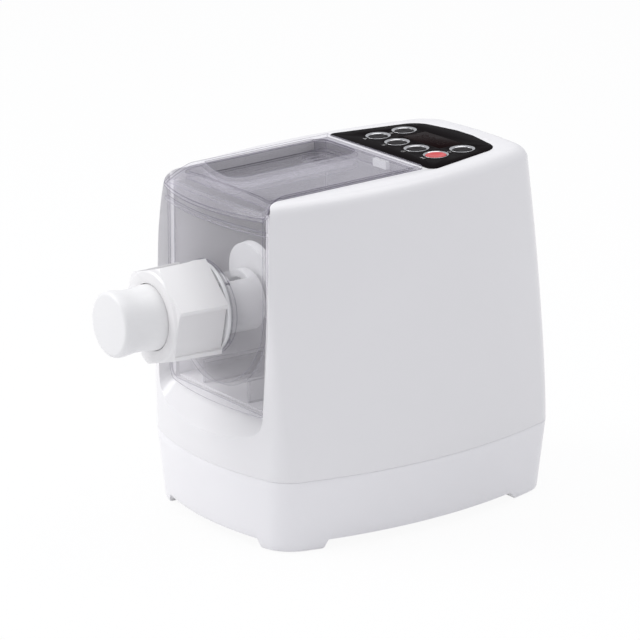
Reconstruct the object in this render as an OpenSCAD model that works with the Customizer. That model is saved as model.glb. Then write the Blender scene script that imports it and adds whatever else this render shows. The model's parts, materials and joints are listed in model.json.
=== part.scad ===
// Electric pasta maker with a clear mixing container that slides out at the front, a ring nut
// with a spout, a lift-off lid, and a motor with a three-stage gear train behind the container.
// Millimetres. +Z is up and the spout points along -Y. Depths are measured from the front
// reference line of the body and moved into the part's own frame by from_front().

/* [Body] */
// Half width of the body at its seam
body_half_w = 105.6; // [104:0.1:110]
// Back of the body, behind the front reference line
body_back = 268; // [266:0.5:276]
// Bulge of the front ahead of the front reference line
front_bulge = 17.5; // [16:0.5:20]
// Height of the seam between the base tray and the upper housing
seam_z = 58; // [54:0.5:62]
// Height of the top deck above the front reference line
deck_front_z = 266.6; // [262:0.2:272]
// Slope of the top deck, up towards the back, in degrees
deck_tilt = 2.2; // [1.5:0.1:2.6]
// How far the sides lean in from the seam to the top
side_lean = 18.6; // [15:0.2:20]
// How far the back leans in from the seam to the top
back_lean = 12.5; // [8:0.5:14]
// How far the base draws in at the floor
base_taper = 5.6; // [3:0.2:7]
// Corner radius of the front at the seam
front_corner_r = 28; // [22:1:32]
// Corner radius of the front above the seam
pillar_corner_r = 13; // [11:0.5:16]
// Corner radius of the back
back_corner_r = 24; // [20:1:30]
// Radius of the rounded edge round the top
top_edge_r = 11; // [8:0.5:13]
// Reach of that rounded edge behind the front of the top
front_edge_l = 16; // [12:0.5:18]
// Wall thickness of the housing and the base
wall = 3; // [2.6:0.1:3.2]
// Height of the skirt between the feet
skirt_z = 8; // [6:0.5:9]

/* [Container bay] */
// Half width of the opening in the deck
bay_half_w = 62.5; // [62.3:0.1:63]
// Back edge of the opening in the deck
bay_back = 146; // [145.6:0.2:148]
// Height of the lower edge of the window
window_z = 101.8; // [100:0.2:106]
// Half width of the window
window_half_w = 68; // [67:0.1:68.4]
// Flare of the window recess to each side at the sill
recess_flare = 8; // [4:0.5:10]
// Flare of the window recess to each side at the top
recess_top_flare = 24; // [18:0.5:25]
// Drop of the sloping sill below the window
sill_drop = 25; // [18:1:26]
// Thickness of the bay liner
liner_wall = 2.5; // [2:0.1:3]

/* [Container] */
// Outer half width of the mixing container
container_half_w = 61.9; // [61.4:0.1:62]
// Wall of the mixing container
container_wall = 2.5; // [2:0.1:3]
// Back of the mixing container
container_back = 144; // [142:0.2:144.6]
// Height of the mixing and extruding axis
axis_z = 175.7; // [174:0.1:178]
// Bulge of the container's front ahead of the front reference line
window_bulge = 8; // [7:0.2:9]
// Height of the lid's top over the deck
lid_proud = 3; // [2:0.1:3.4]
// Thickness of the filling tray's walls
lid_wall = 2.4; // [2:0.1:2.8]
// Depth of the filling tray in the lid
tray_depth = 10; // [6:0.5:12]

/* [Extruder] */
// Bore radius of the extruder barrel
barrel_bore_r = 18; // [17:0.1:19]
// Outer radius of the barrel inside the container
barrel_r = 23.5; // [22.5:0.1:24]
// Radius of the barrel's screwed front
thread_r = 29.6; // [29:0.1:30]
// Radius of the ring nut across its corners
nut_corner_r = 41.5; // [40:0.1:43]
// Radius of the ring nut's round front
nut_front_r = 35.4; // [34:0.1:36]
// Front face of the ring nut, ahead of the front reference line
nut_front = 59.2; // [57:0.2:62]
// Turn of the ring nut's first corner from the X axis, in degrees
nut_turn = 16.7; // [0:0.1:60]
// Outer radius of the spout
spout_r = 25; // [24:0.1:25.4]
// Tip of the spout, ahead of the front reference line
spout_tip = 95.5; // [92:0.5:100]
// Radius of the outlet under the spout
outlet_r = 9; // [7:0.2:10]
// Pitch of the auger's flight
auger_pitch = 22; // [18:1:26]

/* [Drive] */
// Pressure angle of the gear teeth, in degrees
pressure_angle = 25; // [24:0.5:26]
// Tooth size of the first, second and third stage
stage_module = [1.25, 1.75, 2.25];
// Teeth of the driving pinion of each stage
pinion_teeth = 12; // [12:1:13]
// Teeth of the driven gear of each stage
gear_teeth = [48, 40, 36];
// Backlash between meshing teeth
backlash = 0.2; // [0.15:0.01:0.3]
// Radius of the motor's can
motor_r = 38; // [36:0.5:39]
// Length of the motor's can
motor_length = 86; // [76:1:88]
// Radius of the motor's shaft
motor_shaft_r = 4; // [3.5:0.1:4.5]
// Radius of the output shaft
output_shaft_r = 8; // [7.5:0.1:8.5]

/* [Controls] */
// Front edge of the control overlay
panel_front = 149.3; // [149.2:0.1:151]
// Length of the control overlay
panel_length = 83.5; // [80:0.5:85]
// Half width of the control overlay at its front
panel_half_w = 68; // [64:0.5:69]
// Radius of a button
button_r = 9; // [8.5:0.1:9.4]
// Distance between the buttons of a row
button_pitch = 25; // [23:0.2:25.6]
// Distance between the two rows of buttons
row_pitch = 25.2; // [24:0.2:26]
// Travel of a button
button_travel = 1; // [0.6:0.1:1.2]

/* [Fits] */
// Radial clearance of a running fit
running_gap = 0.05; // [0.03:0.01:0.08]
// Gap between pieces that slide or lift apart
sliding_gap = 0.3; // [0.25:0.01:0.4]
// Gap that keeps pressed pieces from sharing a surface
seat_gap = 0.02; // [0.01:0.01:0.04]

/* [Hidden] */
$fn = 64;

hull_fn = 28;
outline_fn = 120;
sliver = 0.01;
far = 400;

// Frame: the depths below count from the front reference line
front_y = (spout_tip - body_back) / 2;
deck_back_z = deck_front_z + body_back * tan(deck_tilt);
top_z = deck_front_z - top_edge_r;

// Body outline
side_r = 400;
side_widest = 115;
front_r = 245;
back_r = 400;
seam_groove = 0.8;
seam_groove_h = 1.2;
foot_edge = 2;
floor_gap = 0.8;
tray_floor = 11;
foot_front_x = body_half_w - 45.6;
foot_back_x = body_half_w - 55.6;
foot_side_front = 37.5;
foot_side_back = body_back - 54;
foot_slope = 5;
vent_w = 4;
vent_pitch = 10;

// Screw posts that join the base tray to the upper housing
post_r = 6;
post_at = [[body_half_w - 25.6, 42], [body_half_w - 33.6, body_back - 46]];
post_boss_h = 26;
base_screw_r = 2;
base_screw_head_r = 3.6;
base_screw_head_h = 3;

// Foot pads
pad_r = 7;
pad_h = 4;
pad_at = [[body_half_w - 32.6, 18], [body_half_w - 36.6, body_back - 36]];

// Window recess and its frame
recess_front = -22;
window_seat = 2.8;
recess_corner_r = [20, 10];
frame_depth = 3;

// Liner
liner_half_w = bay_half_w + 0.5;
liner_front = window_seat + frame_depth;
liner_pad = [[liner_half_w, 42], [liner_half_w, 118]];
liner_drop = 8;
liner_pad_w = 8;
liner_pad_l = 14;
liner_screw_r = 1.5;
deck_boss_h = 10;
mouth_back = 26;
mouth_low = -9;
mouth_steps = 4;
rim_low = -wall - liner_drop + 0.3;

// Container
trough_inner_r = container_half_w - container_wall;
front_plate_half_w = window_half_w - 0.5;
rim_z = deck_front_z - 20.6;
plate_edge = 0.5;
plate_bow = window_bulge + plate_edge;
front_plate_r = (front_plate_half_w * front_plate_half_w + plate_bow * plate_bow) / (2 * plate_bow);
front_wall = 3;
rim_step = 2.4;
rim_h = 3;
boss_r = 36;
boss_front = -9.5;
rail_x = 29;
rail_w = 3;
seal_r = 13;
shaft_end_r = 9;

// Lid
lid_half_w = container_half_w;
lid_back = container_back + 1;
lid_under = 3;
lid_lip = -15.5;
lid_drop = 9.6;
lid_steps = 9;
lid_corner_r = 12;
lid_crease = 8;
lid_bow_r = 165;
lid_bow_y = lid_crease + lid_bow_r;
lid_lip_r = lid_bow_y - lid_lip;
lid_lip_half_w = window_half_w - 1;
skirt_gap = 0.5;
lid_skirt_wall = 1.8;
lid_skirt_h = 7;
tray_side = 57;
tray_middle = 1;
tray_front = 17;
tray_back = 134;
tray_corner_r = 13;
drain_w = 3;
drain_l = 14;
magnet_at = [20, 134];
magnet_size = [17, 3.5, 6];

// Extruder, depths along the axis
gasket_h = 1;
flange_h = 2.9;
barrel_flange_r = 35.6;
barrel_front = -46.2;
barrel_back = 28.5;
nut_back = -15.7;
nut_wall = 3.2;
nut_edge = 1.5;
nut_round = 7;
nut_taper = 1.5;
nut_grip_r = 34;
nut_grip_half_w = 17;
nut_grip_front = 2.6;
die_r = 21.9;
die_h = 5;
spout_flange_r = 28.8;
spout_bore_r = spout_r - 4;
spout_wall = 4;
spout_edge = 3.5;
spout_waist = 1.3;
outlet_y = -80;
barrel_screw_at = 32;
barrel_screw_r = 1.4;
core_r = 6;
auger_core_r = 9;
auger_back = 32;
paddle_front = 34;
paddle_back = 118;
hub_r = 13;
arm_reach = 43;
arm_tip_r = 30;
arm_root_w = 30;
arm_h = 7;
arm_pitch = 8;
arm_direction = 105;
arm_at = [39, 71, 103];

// Drive, depths from the front reference line
dog_r = 5;
dog_gap = 0.3;
dog_length = 10;
plate_h = 4;
front_plate_y = 152;
back_plate_y = 200;
plate_x = [-50, 54];
plate_z = [42, 222];
plate_r = 10;
spacer_at = [[-42, 50], [46, 50], [-42, 214], [46, 214]];
spacer_r = 5;
bolt_r = 2;
pin_r = 4;
bush_wall = 4;
motor_front = 50;
bell_h = 6;
can_wall = 2;
rotor_r = 24;
core_length = 46;
shaft_front = 27;
fan_front = 30;
fan_length = 12;
fan_r = 33;
fan_blades = 7;
saddle_at = [62, 116];
saddle_l = 10;
strap_h = 1.6;
strap_ear = 9;

// Gear train: radii, centre distances and centres
pinion_r = [for (m = stage_module) m * pinion_teeth / 2];
gear_r = [for (i = [0:2]) stage_module[i] * gear_teeth[i] / 2];
centre_gap = [for (i = [0:2]) pinion_r[i] + gear_r[i]];
second_x = 22;
first_x = -6;
function drop(gap, side) = sqrt(gap * gap - side * side);
output_c = [0, axis_z];
second_c = [second_x, axis_z - drop(centre_gap[2], second_x)];
first_c = [first_x, second_c[1] - drop(centre_gap[1], second_x - first_x)];
motor_c = [0, first_c[1] - drop(centre_gap[0], first_x)];
barrel_screw_c = [for (i = [0:3]) output_c + barrel_screw_at * [cos(45 + 90 * i), sin(45 + 90 * i)]];
// Depth and width of each stage's teeth
stage_y = [189, 176, 159];
stage_w = [8, 9, 13];
pinion_over = 1;

// Controls, in the deck's own plane
overlay_h = 1.2;
panel_narrowing = 13;
panel_front_r = 6;
panel_back_r = 20;
panel_bow = 5;
panel_bow_x = 8;
overlay_proud = 0.3;
ring_r = button_r + 0.9;
cap_r = button_r - 1.6;
cap_flange_r = button_r + 0.4;
cap_flange_h = 1.5;
row_y = [panel_front + 27.1, panel_front + 27.1 + row_pitch];
button_at = [
  [-1.5 * button_pitch, row_y[0]], [-0.5 * button_pitch, row_y[0]],
  [0.5 * button_pitch, row_y[0]], [1.5 * button_pitch, row_y[0]],
  [-1.5 * button_pitch, row_y[1]], [1.5 * button_pitch, row_y[1]]
];
red_button = 3;
stem_r = 3;
stem_end = -wall - cap_flange_h - 2.7;
switch_gap = 0.1;
board_top = stem_end - button_travel - switch_gap - 3.6;
board_h = 1.6;
board_half_w = 52;
board_front = panel_front + 9;
board_length = 66;
board_post_at = [[46, board_front + 6], [46, board_front + board_length - 6]];
display_half_w = 24;
display_y = [panel_front + 40.5, panel_front + 63];

// Base parts
gland_x = -40;
gland_z = 32;
gland_r = 8;
gland_bore_r = 3.65;
gland_face = body_back - 4.5;
gland_length = 21;
gland_boss = 14;
board_z = 22;
power_y = [body_back - 60, body_back - 24];
power_half_w = 42;
power_post_in = 5;
power_part_size = [[-26, 20, 16, 18], [4, 16, 12, 14], [26, 14, 12, 17]];
capacitor_r = 14;
capacitor_x = 39.6 - body_half_w;
capacitor_y = [70, 125];

// ---------------------------------------------------------------- placing

module from_front() {
  translate([0, front_y, 0]) children();
}

// Plane of the top deck: x, depth along the deck, height above it
module on_deck() {
  translate([0, 0, deck_front_z]) rotate([deck_tilt, 0, 0]) children();
}

// Extrudes a shape drawn in X and Z along +Y, from depth y
module along_y(y, length) {
  translate([0, y + length, 0]) rotate([90, 0, 0]) linear_extrude(length) children();
}

module rod(y, length, r, at = [0, axis_z]) {
  translate([at[0], y + length, at[1]]) rotate([90, 0, 0]) cylinder(h = length, r = r);
}

module tube(y, length, r, bore, at = [0, axis_z]) {
  difference() {
    rod(y, length, r, at);
    rod(y - 1, length + 2, bore, at);
  }
}

module both_sides() {
  children();
  mirror([1, 0, 0]) children();
}

module rounded_box_2d(x0, x1, y0, y1, r) {
  translate([x0 + r, y0]) square([x1 - x0 - 2 * r, y1 - y0]);
  translate([x0, y0 + r]) square([x1 - x0, y1 - y0 - 2 * r]);
  for (x = [x0 + r, x1 - r], y = [y0 + r, y1 - r]) translate([x, y]) circle(r);
}

// ---------------------------------------------------------------- body shape

function lean(z) = z <= seam_z ? 0 : pow((z - seam_z) / (deck_front_z - seam_z), 1.4);
function draw_in(z) = z >= seam_z ? 0 : base_taper * (seam_z - z) / seam_z;
function side_x(y) = body_half_w - side_r + sqrt(side_r * side_r - (y - side_widest) * (y - side_widest));
function corner_r(z) = z <= seam_z ? front_corner_r
  : max(pillar_corner_r, front_corner_r - (front_corner_r - pillar_corner_r) * (z - seam_z) / 50);

// Outline with crowned sides, front and back, drawn in on each side
module outline_sharp(side_in, front_in, back_in) {
  intersection() {
    translate([body_half_w - side_in - side_r, side_widest]) circle(side_r, $fn = outline_fn);
    translate([side_r - body_half_w + side_in, side_widest]) circle(side_r, $fn = outline_fn);
    translate([0, front_r - front_bulge + front_in]) circle(front_r, $fn = outline_fn);
    translate([0, body_back - back_in - back_r]) circle(back_r, $fn = outline_fn);
  }
}

module outline(side_in, front_in, back_in, front_corner, back_corner) {
  intersection() {
    offset(r = front_corner, $fn = hull_fn) offset(delta = -front_corner)
      outline_sharp(side_in, front_in, back_in);
    translate([-far, -far]) square([2 * far, far + side_widest]);
  }
  intersection() {
    offset(r = back_corner, $fn = hull_fn) offset(delta = -back_corner)
      outline_sharp(side_in, front_in, back_in);
    translate([-far, side_widest - 1]) square([2 * far, far]);
  }
}

module body_slice(z, inset) {
  translate([0, 0, z]) linear_extrude(sliver)
    outline(side_lean * lean(z) + draw_in(z) + inset, draw_in(z) + inset,
      back_lean * lean(z) + draw_in(z) + inset, corner_r(z) - inset / 2, back_corner_r - inset / 2);
}

module upper_form(inset, groove) {
  hull() {
    body_slice(seam_z, inset + groove);
    body_slice(seam_z + seam_groove_h, inset);
    for (z = inset > 0 ? [108, 165] : [84, 108, 150, 190]) body_slice(z, inset);
    body_slice(top_z - 24, inset);
    for (a = inset > 0 ? [45, 90] : [0, 22, 45, 67, 90]) on_deck()
      translate([0, 0, -inset - sliver - top_edge_r * (1 - sin(a))]) linear_extrude(sliver)
        outline(side_lean + inset + top_edge_r * (1 - cos(a)), inset + front_edge_l * (1 - cos(a)),
          back_lean + inset + top_edge_r * (1 - cos(a)), pillar_corner_r, back_corner_r);
  }
}

module base_form(inset, low, groove) {
  hull() {
    body_slice(low, inset + foot_edge * (inset == 0 ? 1 : 0));
    body_slice(low + foot_edge, inset);
    body_slice(seam_z - seam_groove_h - 8, inset);
    body_slice(seam_z - seam_groove_h, inset);
    body_slice(seam_z - sliver, inset + groove);
  }
}

// Flared recess round the window, wider towards the top, with the sloping sill below it
module recess(grow) {
  hull() {
    translate([0, recess_front - grow, 0]) rotate([90, 0, 0]) linear_extrude(sliver)
      recess_face(window_half_w + recess_flare + grow, window_half_w + recess_top_flare + grow,
        window_z - sill_drop - grow, recess_corner_r[0]);
    translate([0, window_seat + grow, 0]) rotate([90, 0, 0]) linear_extrude(sliver)
      recess_face(window_half_w + grow, window_half_w + grow, window_z - 0.5 - grow, recess_corner_r[1]);
  }
}

module recess_face(low_half_w, top_half_w, low, corner) {
  for (x = [-1, 1]) translate([x * (low_half_w - corner), low + corner]) circle(corner, $fn = hull_fn);
  translate([-top_half_w, deck_back_z + 10]) square([2 * top_half_w, 1]);
}

// Front end of the opening in the deck, which widens to the window
module bay_mouth(inner, outer) {
  side = concat([for (a = [0:90 / mouth_steps:90]) [inner + (outer - inner) * (1 - cos(a)),
    mouth_back - (mouth_back - window_seat) * sin(a)]], [[outer, window_seat - wall]]);
  polygon(concat(side, [for (k = [mouth_steps + 1:-1:0]) [-side[k][0], side[k][1]]]));
}

// Space above a plane that lies offset from the deck
module above_deck(offset_z) {
  on_deck() translate([-far / 2, -far / 2, offset_z]) cube([far, far * 1.5, far / 2]);
}

// ---------------------------------------------------------------- body pieces

module housing_posts() {
  both_sides() for (p = post_at) {
    translate([p[0], p[1], seam_z]) cylinder(h = post_boss_h, r = post_r);
    translate([p[0], p[1] - 1.5, seam_z]) cube([side_x(p[1]) - wall - p[0], 3, post_boss_h]);
  }
}

// Solid corners under the wings of the lid
module bay_corners() {
  on_deck() both_sides() translate([bay_half_w - 2, 0, rim_low])
    cube([20, mouth_back + wall, wall + liner_drop]);
}

module upper_housing() {
  color("white") from_front() difference() {
    union() {
      difference() {
        upper_form(0, seam_groove);
        difference() {
          upper_form(wall, 0);
          recess(wall);
          bay_corners();
        }
        translate([-far / 2, -far / 2, seam_z - far]) cube([far, far * 1.5, far]);
        // room inside the window frame
        difference() {
          translate([-window_half_w - wall, window_seat + wall - sliver, window_z])
            cube([2 * (window_half_w + wall), 1, far]);
          bay_corners();
        }
      }
      housing_posts();
      // edge of the deck turned down to the liner
      on_deck() both_sides() translate([bay_half_w - 1, mouth_back, rim_low])
        cube([liner_wall + 1, bay_back - mouth_back, -rim_low - wall + 0.5]);
      // bosses that carry the liner and the control board
      on_deck() both_sides() for (p = liner_pad)
        translate([p[0] + liner_wall + liner_pad_w / 2, p[1], -wall - deck_boss_h])
          cylinder(h = deck_boss_h + 1, r = 3.6);
      on_deck() both_sides() for (p = board_post_at)
        translate([p[0], p[1], board_top]) cylinder(h = -board_top - 1, r = 3.5);
    }
    recess(0);
    // the bay behind the window, and its opening in the deck
    translate([-bay_half_w, recess_front, window_z + 1]) cube([2 * bay_half_w, bay_back - recess_front, far]);
    on_deck() translate([0, 0, mouth_low]) linear_extrude(far) bay_mouth(bay_half_w - 1, window_half_w);
    // seat, buttons and display of the control overlay
    on_deck() translate([0, 0, -overlay_h + overlay_proud]) linear_extrude(10) panel_shape(0.15);
    on_deck() for (i = [0:5]) translate([button_at[i][0], button_at[i][1], -10])
      cylinder(h = 20, r = ring_r - 1.4);
    on_deck() translate([-display_half_w + 2, display_y[0] + 2, -10])
      cube([2 * display_half_w - 4, display_y[1] - display_y[0] - 4, 20]);
    // screw holes
    both_sides() for (p = post_at) translate([p[0], p[1], seam_z - 1])
      cylinder(h = post_boss_h - 3, r = base_screw_r + seat_gap);
    on_deck() both_sides() for (p = liner_pad)
      translate([p[0] + liner_wall + liner_pad_w / 2, p[1], -wall - deck_boss_h - 1])
        cylinder(h = deck_boss_h + 1, r = liner_screw_r + seat_gap);
    on_deck() both_sides() for (p = board_post_at)
      translate([p[0], p[1], board_top - 1]) cylinder(h = 7, r = liner_screw_r + seat_gap);
  }
}

// Notches that leave four corner feet
module foot_notches() {
  across = [[foot_side_front - foot_slope, -1], [foot_side_front, skirt_z],
    [foot_side_back, skirt_z], [foot_side_back + foot_slope * 1.8, -1]];
  translate([-far / 2, 0, 0]) rotate([90, 0, 90]) linear_extrude(far) polygon(across);
  rotate([90, 0, 0]) translate([0, 0, -80]) linear_extrude(far / 2)
    polygon([[-foot_front_x - foot_slope, -1], [-foot_front_x, skirt_z],
      [foot_front_x, skirt_z], [foot_front_x + foot_slope, -1]]);
  rotate([90, 0, 0]) translate([0, 0, -far]) linear_extrude(far / 2)
    polygon([[-foot_back_x - foot_slope, -1], [-foot_back_x, skirt_z],
      [foot_back_x, skirt_z], [foot_back_x + foot_slope, -1]]);
}

module base_tray() {
  color("white") from_front() difference() {
    union() {
      difference() {
        base_form(0, floor_gap, seam_groove);
        base_form(wall, tray_floor, 0);
        translate([-far / 2, -far / 2, seam_z]) cube([far, far * 1.5, 20]);
      }
      both_sides() for (p = post_at) translate([p[0], p[1], tray_floor - 1])
        cylinder(h = seam_z - tray_floor + 1, r = post_r);
      // towers for the lower gearbox bolts
      for (s = [0, 1]) translate([spacer_at[s][0] - 6, front_plate_y - 8, tray_floor - 1])
        cube([12, 8, spacer_at[s][1] - tray_floor + 7]);
      // flat boss round the cord gland
      intersection() {
        rod(gland_face - gland_boss, gland_boss, gland_r + 5, [gland_x, gland_z]);
        translate([-far / 2, 0, tray_floor]) cube([far, far, far]);
      }
      // posts under the power board
      for (x = [-1, 1], y = [power_y[0] + power_post_in, power_y[1] - power_post_in])
        translate([x * (power_half_w - power_post_in), y, tray_floor - 1])
          cylinder(h = board_z - tray_floor + 1, r = 3.5);
    }
    foot_notches();
    both_sides() for (p = pad_at) translate([p[0], p[1], -1])
      cylinder(h = pad_h + 1 + seat_gap, r = pad_r + seat_gap);
    both_sides() for (p = post_at) {
      translate([p[0], p[1], -1]) cylinder(h = far, r = base_screw_r + 0.2);
      translate([p[0], p[1], -1]) cylinder(h = tray_floor + 8, r = base_screw_head_r + 0.3);
    }
    rod(body_back - 40, 60, gland_r + seat_gap, [gland_x, gland_z]);
    rod(gland_face, 20, gland_r + 3.3, [gland_x, gland_z]);
    for (s = [0, 1]) rod(front_plate_y - 20, 30, bolt_r + seat_gap, spacer_at[s]);
    // air inlets under the fan and outlets under the gearbox
    for (i = [-4:4]) translate([i * vent_pitch - vent_w / 2, 12, -1]) cube([vent_w, 36, tray_floor + 2]);
    for (i = [-4:4]) translate([i * vent_pitch - vent_w / 2, 156, -1]) cube([vent_w, 36, tray_floor + 2]);
  }
}

module foot_pads() {
  color("dimgray") from_front() both_sides() for (p = pad_at)
    translate([p[0], p[1], 0]) cylinder(h = pad_h, r = pad_r);
}

module screw_up(length, r, head_r, head_h) {
  cylinder(h = head_h, r = head_r);
  translate([0, 0, head_h - sliver]) cylinder(h = length - head_h, r = r);
}

module base_screws() {
  color("silver") from_front() both_sides() for (p = post_at)
    translate([p[0], p[1], tray_floor + 7 - base_screw_head_h])
      screw_up(seam_z + post_boss_h - 8 - tray_floor - 7 + base_screw_head_h, base_screw_r,
        base_screw_head_r, base_screw_head_h);
}

// Open box that the container slides into
module bay_liner() {
  color("whitesmoke") from_front() difference() {
    union() {
      difference() {
        translate([-liner_half_w - liner_wall, liner_front, window_z])
          cube([2 * (liner_half_w + liner_wall), bay_back + liner_wall - liner_front, far / 2]);
        translate([-liner_half_w, liner_front - 1, window_z + liner_wall])
          cube([2 * liner_half_w, bay_back - liner_front + 1, far / 2]);
      }
      both_sides() for (p = liner_pad) on_deck()
        translate([p[0] + liner_wall - 1, p[1] - liner_pad_l / 2, -wall - deck_boss_h - liner_wall])
          cube([liner_pad_w + 1, liner_pad_l, liner_wall]);
      // bosses for the gearbox
      for (i = [2, 3]) rod(bay_back + 1, front_plate_y - bay_back - 1, spacer_r, spacer_at[i]);
    }
    // room under the rounded edge of the housing
    above_deck(-wall - liner_drop);
    both_sides() for (p = liner_pad) on_deck()
      translate([p[0] + liner_wall + liner_pad_w / 2, p[1], -wall - deck_boss_h - 2 * liner_wall])
        cylinder(h = 3 * liner_wall, r = liner_screw_r + 0.2);
    rod(bay_back - 5, 20, output_shaft_r + 1);
    for (i = [2, 3]) rod(bay_back + 1.2, 10, bolt_r + seat_gap, spacer_at[i]);
  }
}

module liner_screws() {
  color("silver") from_front() on_deck() both_sides() for (p = liner_pad)
    translate([p[0] + liner_wall + liner_pad_w / 2, p[1], -wall - deck_boss_h - liner_wall - 2])
      screw_up(liner_wall + deck_boss_h, liner_screw_r, 2.8, 2);
}

// ---------------------------------------------------------------- controls

// Outline of the control overlay: straight front, sides that draw in, bowed back
module panel_shape(grow) {
  front_x = panel_half_w + grow;
  back_x = panel_half_w - panel_narrowing + grow;
  y0 = panel_front - grow;
  y1 = panel_front + panel_length + grow;
  hull() for (s = [-1, 1]) {
    translate([s * (front_x - panel_front_r), y0 + panel_front_r]) circle(panel_front_r);
    translate([s * (back_x - panel_back_r), y1 - panel_bow - panel_back_r]) circle(panel_back_r);
    translate([s * panel_bow_x, y1 - panel_back_r]) circle(panel_back_r);
  }
}

module control_overlay() {
  color("#1a1516") from_front() on_deck() difference() {
    translate([0, 0, -overlay_h + overlay_proud]) linear_extrude(overlay_h) panel_shape(0);
    for (i = [0:5]) translate([button_at[i][0], button_at[i][1], -5]) cylinder(h = 10, r = ring_r + 0.1);
    translate([-display_half_w - 0.1, display_y[0] - 0.1, -5])
      cube([2 * display_half_w + 0.2, display_y[1] - display_y[0] + 0.2, 10]);
  }
}

module display_window() {
  color("#2a1013") from_front() on_deck() {
    translate([-display_half_w, display_y[0], -overlay_h + overlay_proud])
      cube([2 * display_half_w, display_y[1] - display_y[0], overlay_h]);
    translate([-display_half_w + 2.2, display_y[0] + 2.2, board_top])
      cube([2 * display_half_w - 4.4, display_y[1] - display_y[0] - 4.4,
        -board_top - overlay_h + overlay_proud + sliver]);
  }
}

// Bright dished ring round each button
module button_rings() {
  color("silver") from_front() on_deck() for (i = [0:5])
    translate([button_at[i][0], button_at[i][1], -overlay_h + overlay_proud]) difference() {
      cylinder(h = overlay_h + 0.5, r = ring_r);
      translate([0, 0, -1]) cylinder(h = 5, r = cap_hole(i));
      translate([0, 0, overlay_h + 0.5 - 0.9]) cylinder(h = 0.91, r1 = cap_hole(i), r2 = ring_r - 0.35);
    }
}

function cap_radius(i) = i == red_button ? cap_r + 0.6 : cap_r;
function cap_hole(i) = cap_radius(i) + sliding_gap;

// Cap, retaining flange below the deck, and stem that presses its switch
module button(i, shade) {
  color(shade) from_front() on_deck() translate([button_at[i][0], button_at[i][1], 0]) {
    difference() {
      translate([0, 0, -wall - 0.5])
        cylinder(h = wall + 0.5 + (i == red_button ? 0.6 : 0.1), r = cap_radius(i));
      translate([0, 0, 24.6]) sphere(r = 24.7);
    }
    translate([0, 0, -wall - cap_flange_h - 0.05]) cylinder(h = cap_flange_h, r = cap_flange_r);
    translate([0, 0, stem_end]) cylinder(h = -stem_end - wall - 0.5, r = stem_r);
  }
}

module knead_button() {
  button(0, "#241f20");
}

module extrude_button() {
  button(1, "#241f20");
}

module timer_button() {
  button(2, "#241f20");
}

module start_button() {
  button(3, "#c8323a");
}

module mode_button() {
  button(4, "#241f20");
}

module power_button() {
  button(5, "#241f20");
}

module control_board() {
  color("darkgreen") from_front() on_deck() difference() {
    translate([-board_half_w, board_front, board_top - board_h])
      cube([2 * board_half_w, board_length, board_h]);
    both_sides() for (p = board_post_at) translate([p[0], p[1], board_top - 5])
      cylinder(h = 10, r = liner_screw_r + 0.2);
  }
}

module key_switches() {
  color("black") from_front() on_deck() for (p = button_at) {
    translate([p[0] - 3, p[1] - 3, board_top]) cube([6, 6, 2.6]);
    translate([p[0], p[1], board_top + 2.6 - sliver]) cylinder(h = 1, r = 1.6);
  }
}

module board_screws() {
  color("silver") from_front() on_deck() both_sides() for (p = board_post_at)
    translate([p[0], p[1], board_top - board_h - 2]) screw_up(8, liner_screw_r, 2.8, 2);
}

module reed_switch() {
  color("black") from_front() translate([magnet_at[0] - 9, bay_back + liner_wall, deck_front_z - 12])
    cube([18, 4, 7]);
}

// ---------------------------------------------------------------- motor

module motor_saddles() {
  color("gray") from_front() for (y = saddle_at) difference() {
    translate([-motor_r - 4, y, tray_floor]) cube([2 * motor_r + 8, saddle_l, motor_c[1] - tray_floor - 1]);
    rod(y - 1, saddle_l + 2, motor_r + seat_gap, motor_c);
    for (s = [-1, 1]) translate([s * (motor_r - 12), y - 1, tray_floor - 1]) cube([8, saddle_l + 2, 4]);
  }
}

module motor_straps() {
  color("silver") from_front() for (y = saddle_at) {
    difference() {
      rod(y, saddle_l, motor_r + strap_h + seat_gap, motor_c);
      rod(y - 1, saddle_l + 2, motor_r + seat_gap, motor_c);
      translate([-far / 2, y - 1, motor_c[1] - far]) cube([far, saddle_l + 2, far + 1]);
    }
    for (s = [-1, 1]) translate([s > 0 ? motor_r + seat_gap : -motor_r - strap_ear + 4, y, motor_c[1] - 1])
      cube([strap_ear - 4 - seat_gap, saddle_l, strap_h]);
  }
}

module motor_can() {
  color("darkgray") from_front() tube(motor_front, motor_length, motor_r, motor_r - can_wall, motor_c);
}

module motor_bell(y, boss_y) {
  difference() {
    union() {
      rod(y, bell_h, motor_r - can_wall - seat_gap, motor_c);
      rod(boss_y, bell_h, 10, motor_c);
    }
    rod(y - 20, bell_h + 40, motor_shaft_r + running_gap, motor_c);
    for (i = [0:5]) rod(y - 1, bell_h + 2, 5, motor_c + 22 * [cos(60 * i), sin(60 * i)]);
  }
}

module motor_bells() {
  color("lightgray") from_front() {
    motor_bell(motor_front, motor_front - 3);
    motor_bell(motor_front + motor_length - bell_h, motor_front + motor_length - bell_h + 3);
  }
}

module stator_core() {
  color("gray") from_front() tube(motor_front + (motor_length - core_length) / 2, core_length,
    motor_r - can_wall - seat_gap, rotor_r + 0.6, motor_c);
}

module stator_windings() {
  inset_y = (motor_length - core_length) / 2;
  color("peru") from_front() for (y = [motor_front + inset_y - 12, motor_front + inset_y + core_length])
    tube(y, 12, motor_r - can_wall - 2, rotor_r + 3, motor_c);
}

module motor_shaft() {
  color("silver") from_front()
    rod(shaft_front, back_plate_y + plate_h + 1 - shaft_front, motor_shaft_r, motor_c);
}

module rotor_core() {
  color("darkgray") from_front() tube(motor_front + (motor_length - core_length) / 2, core_length,
    rotor_r, motor_shaft_r + seat_gap, motor_c);
}

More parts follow.
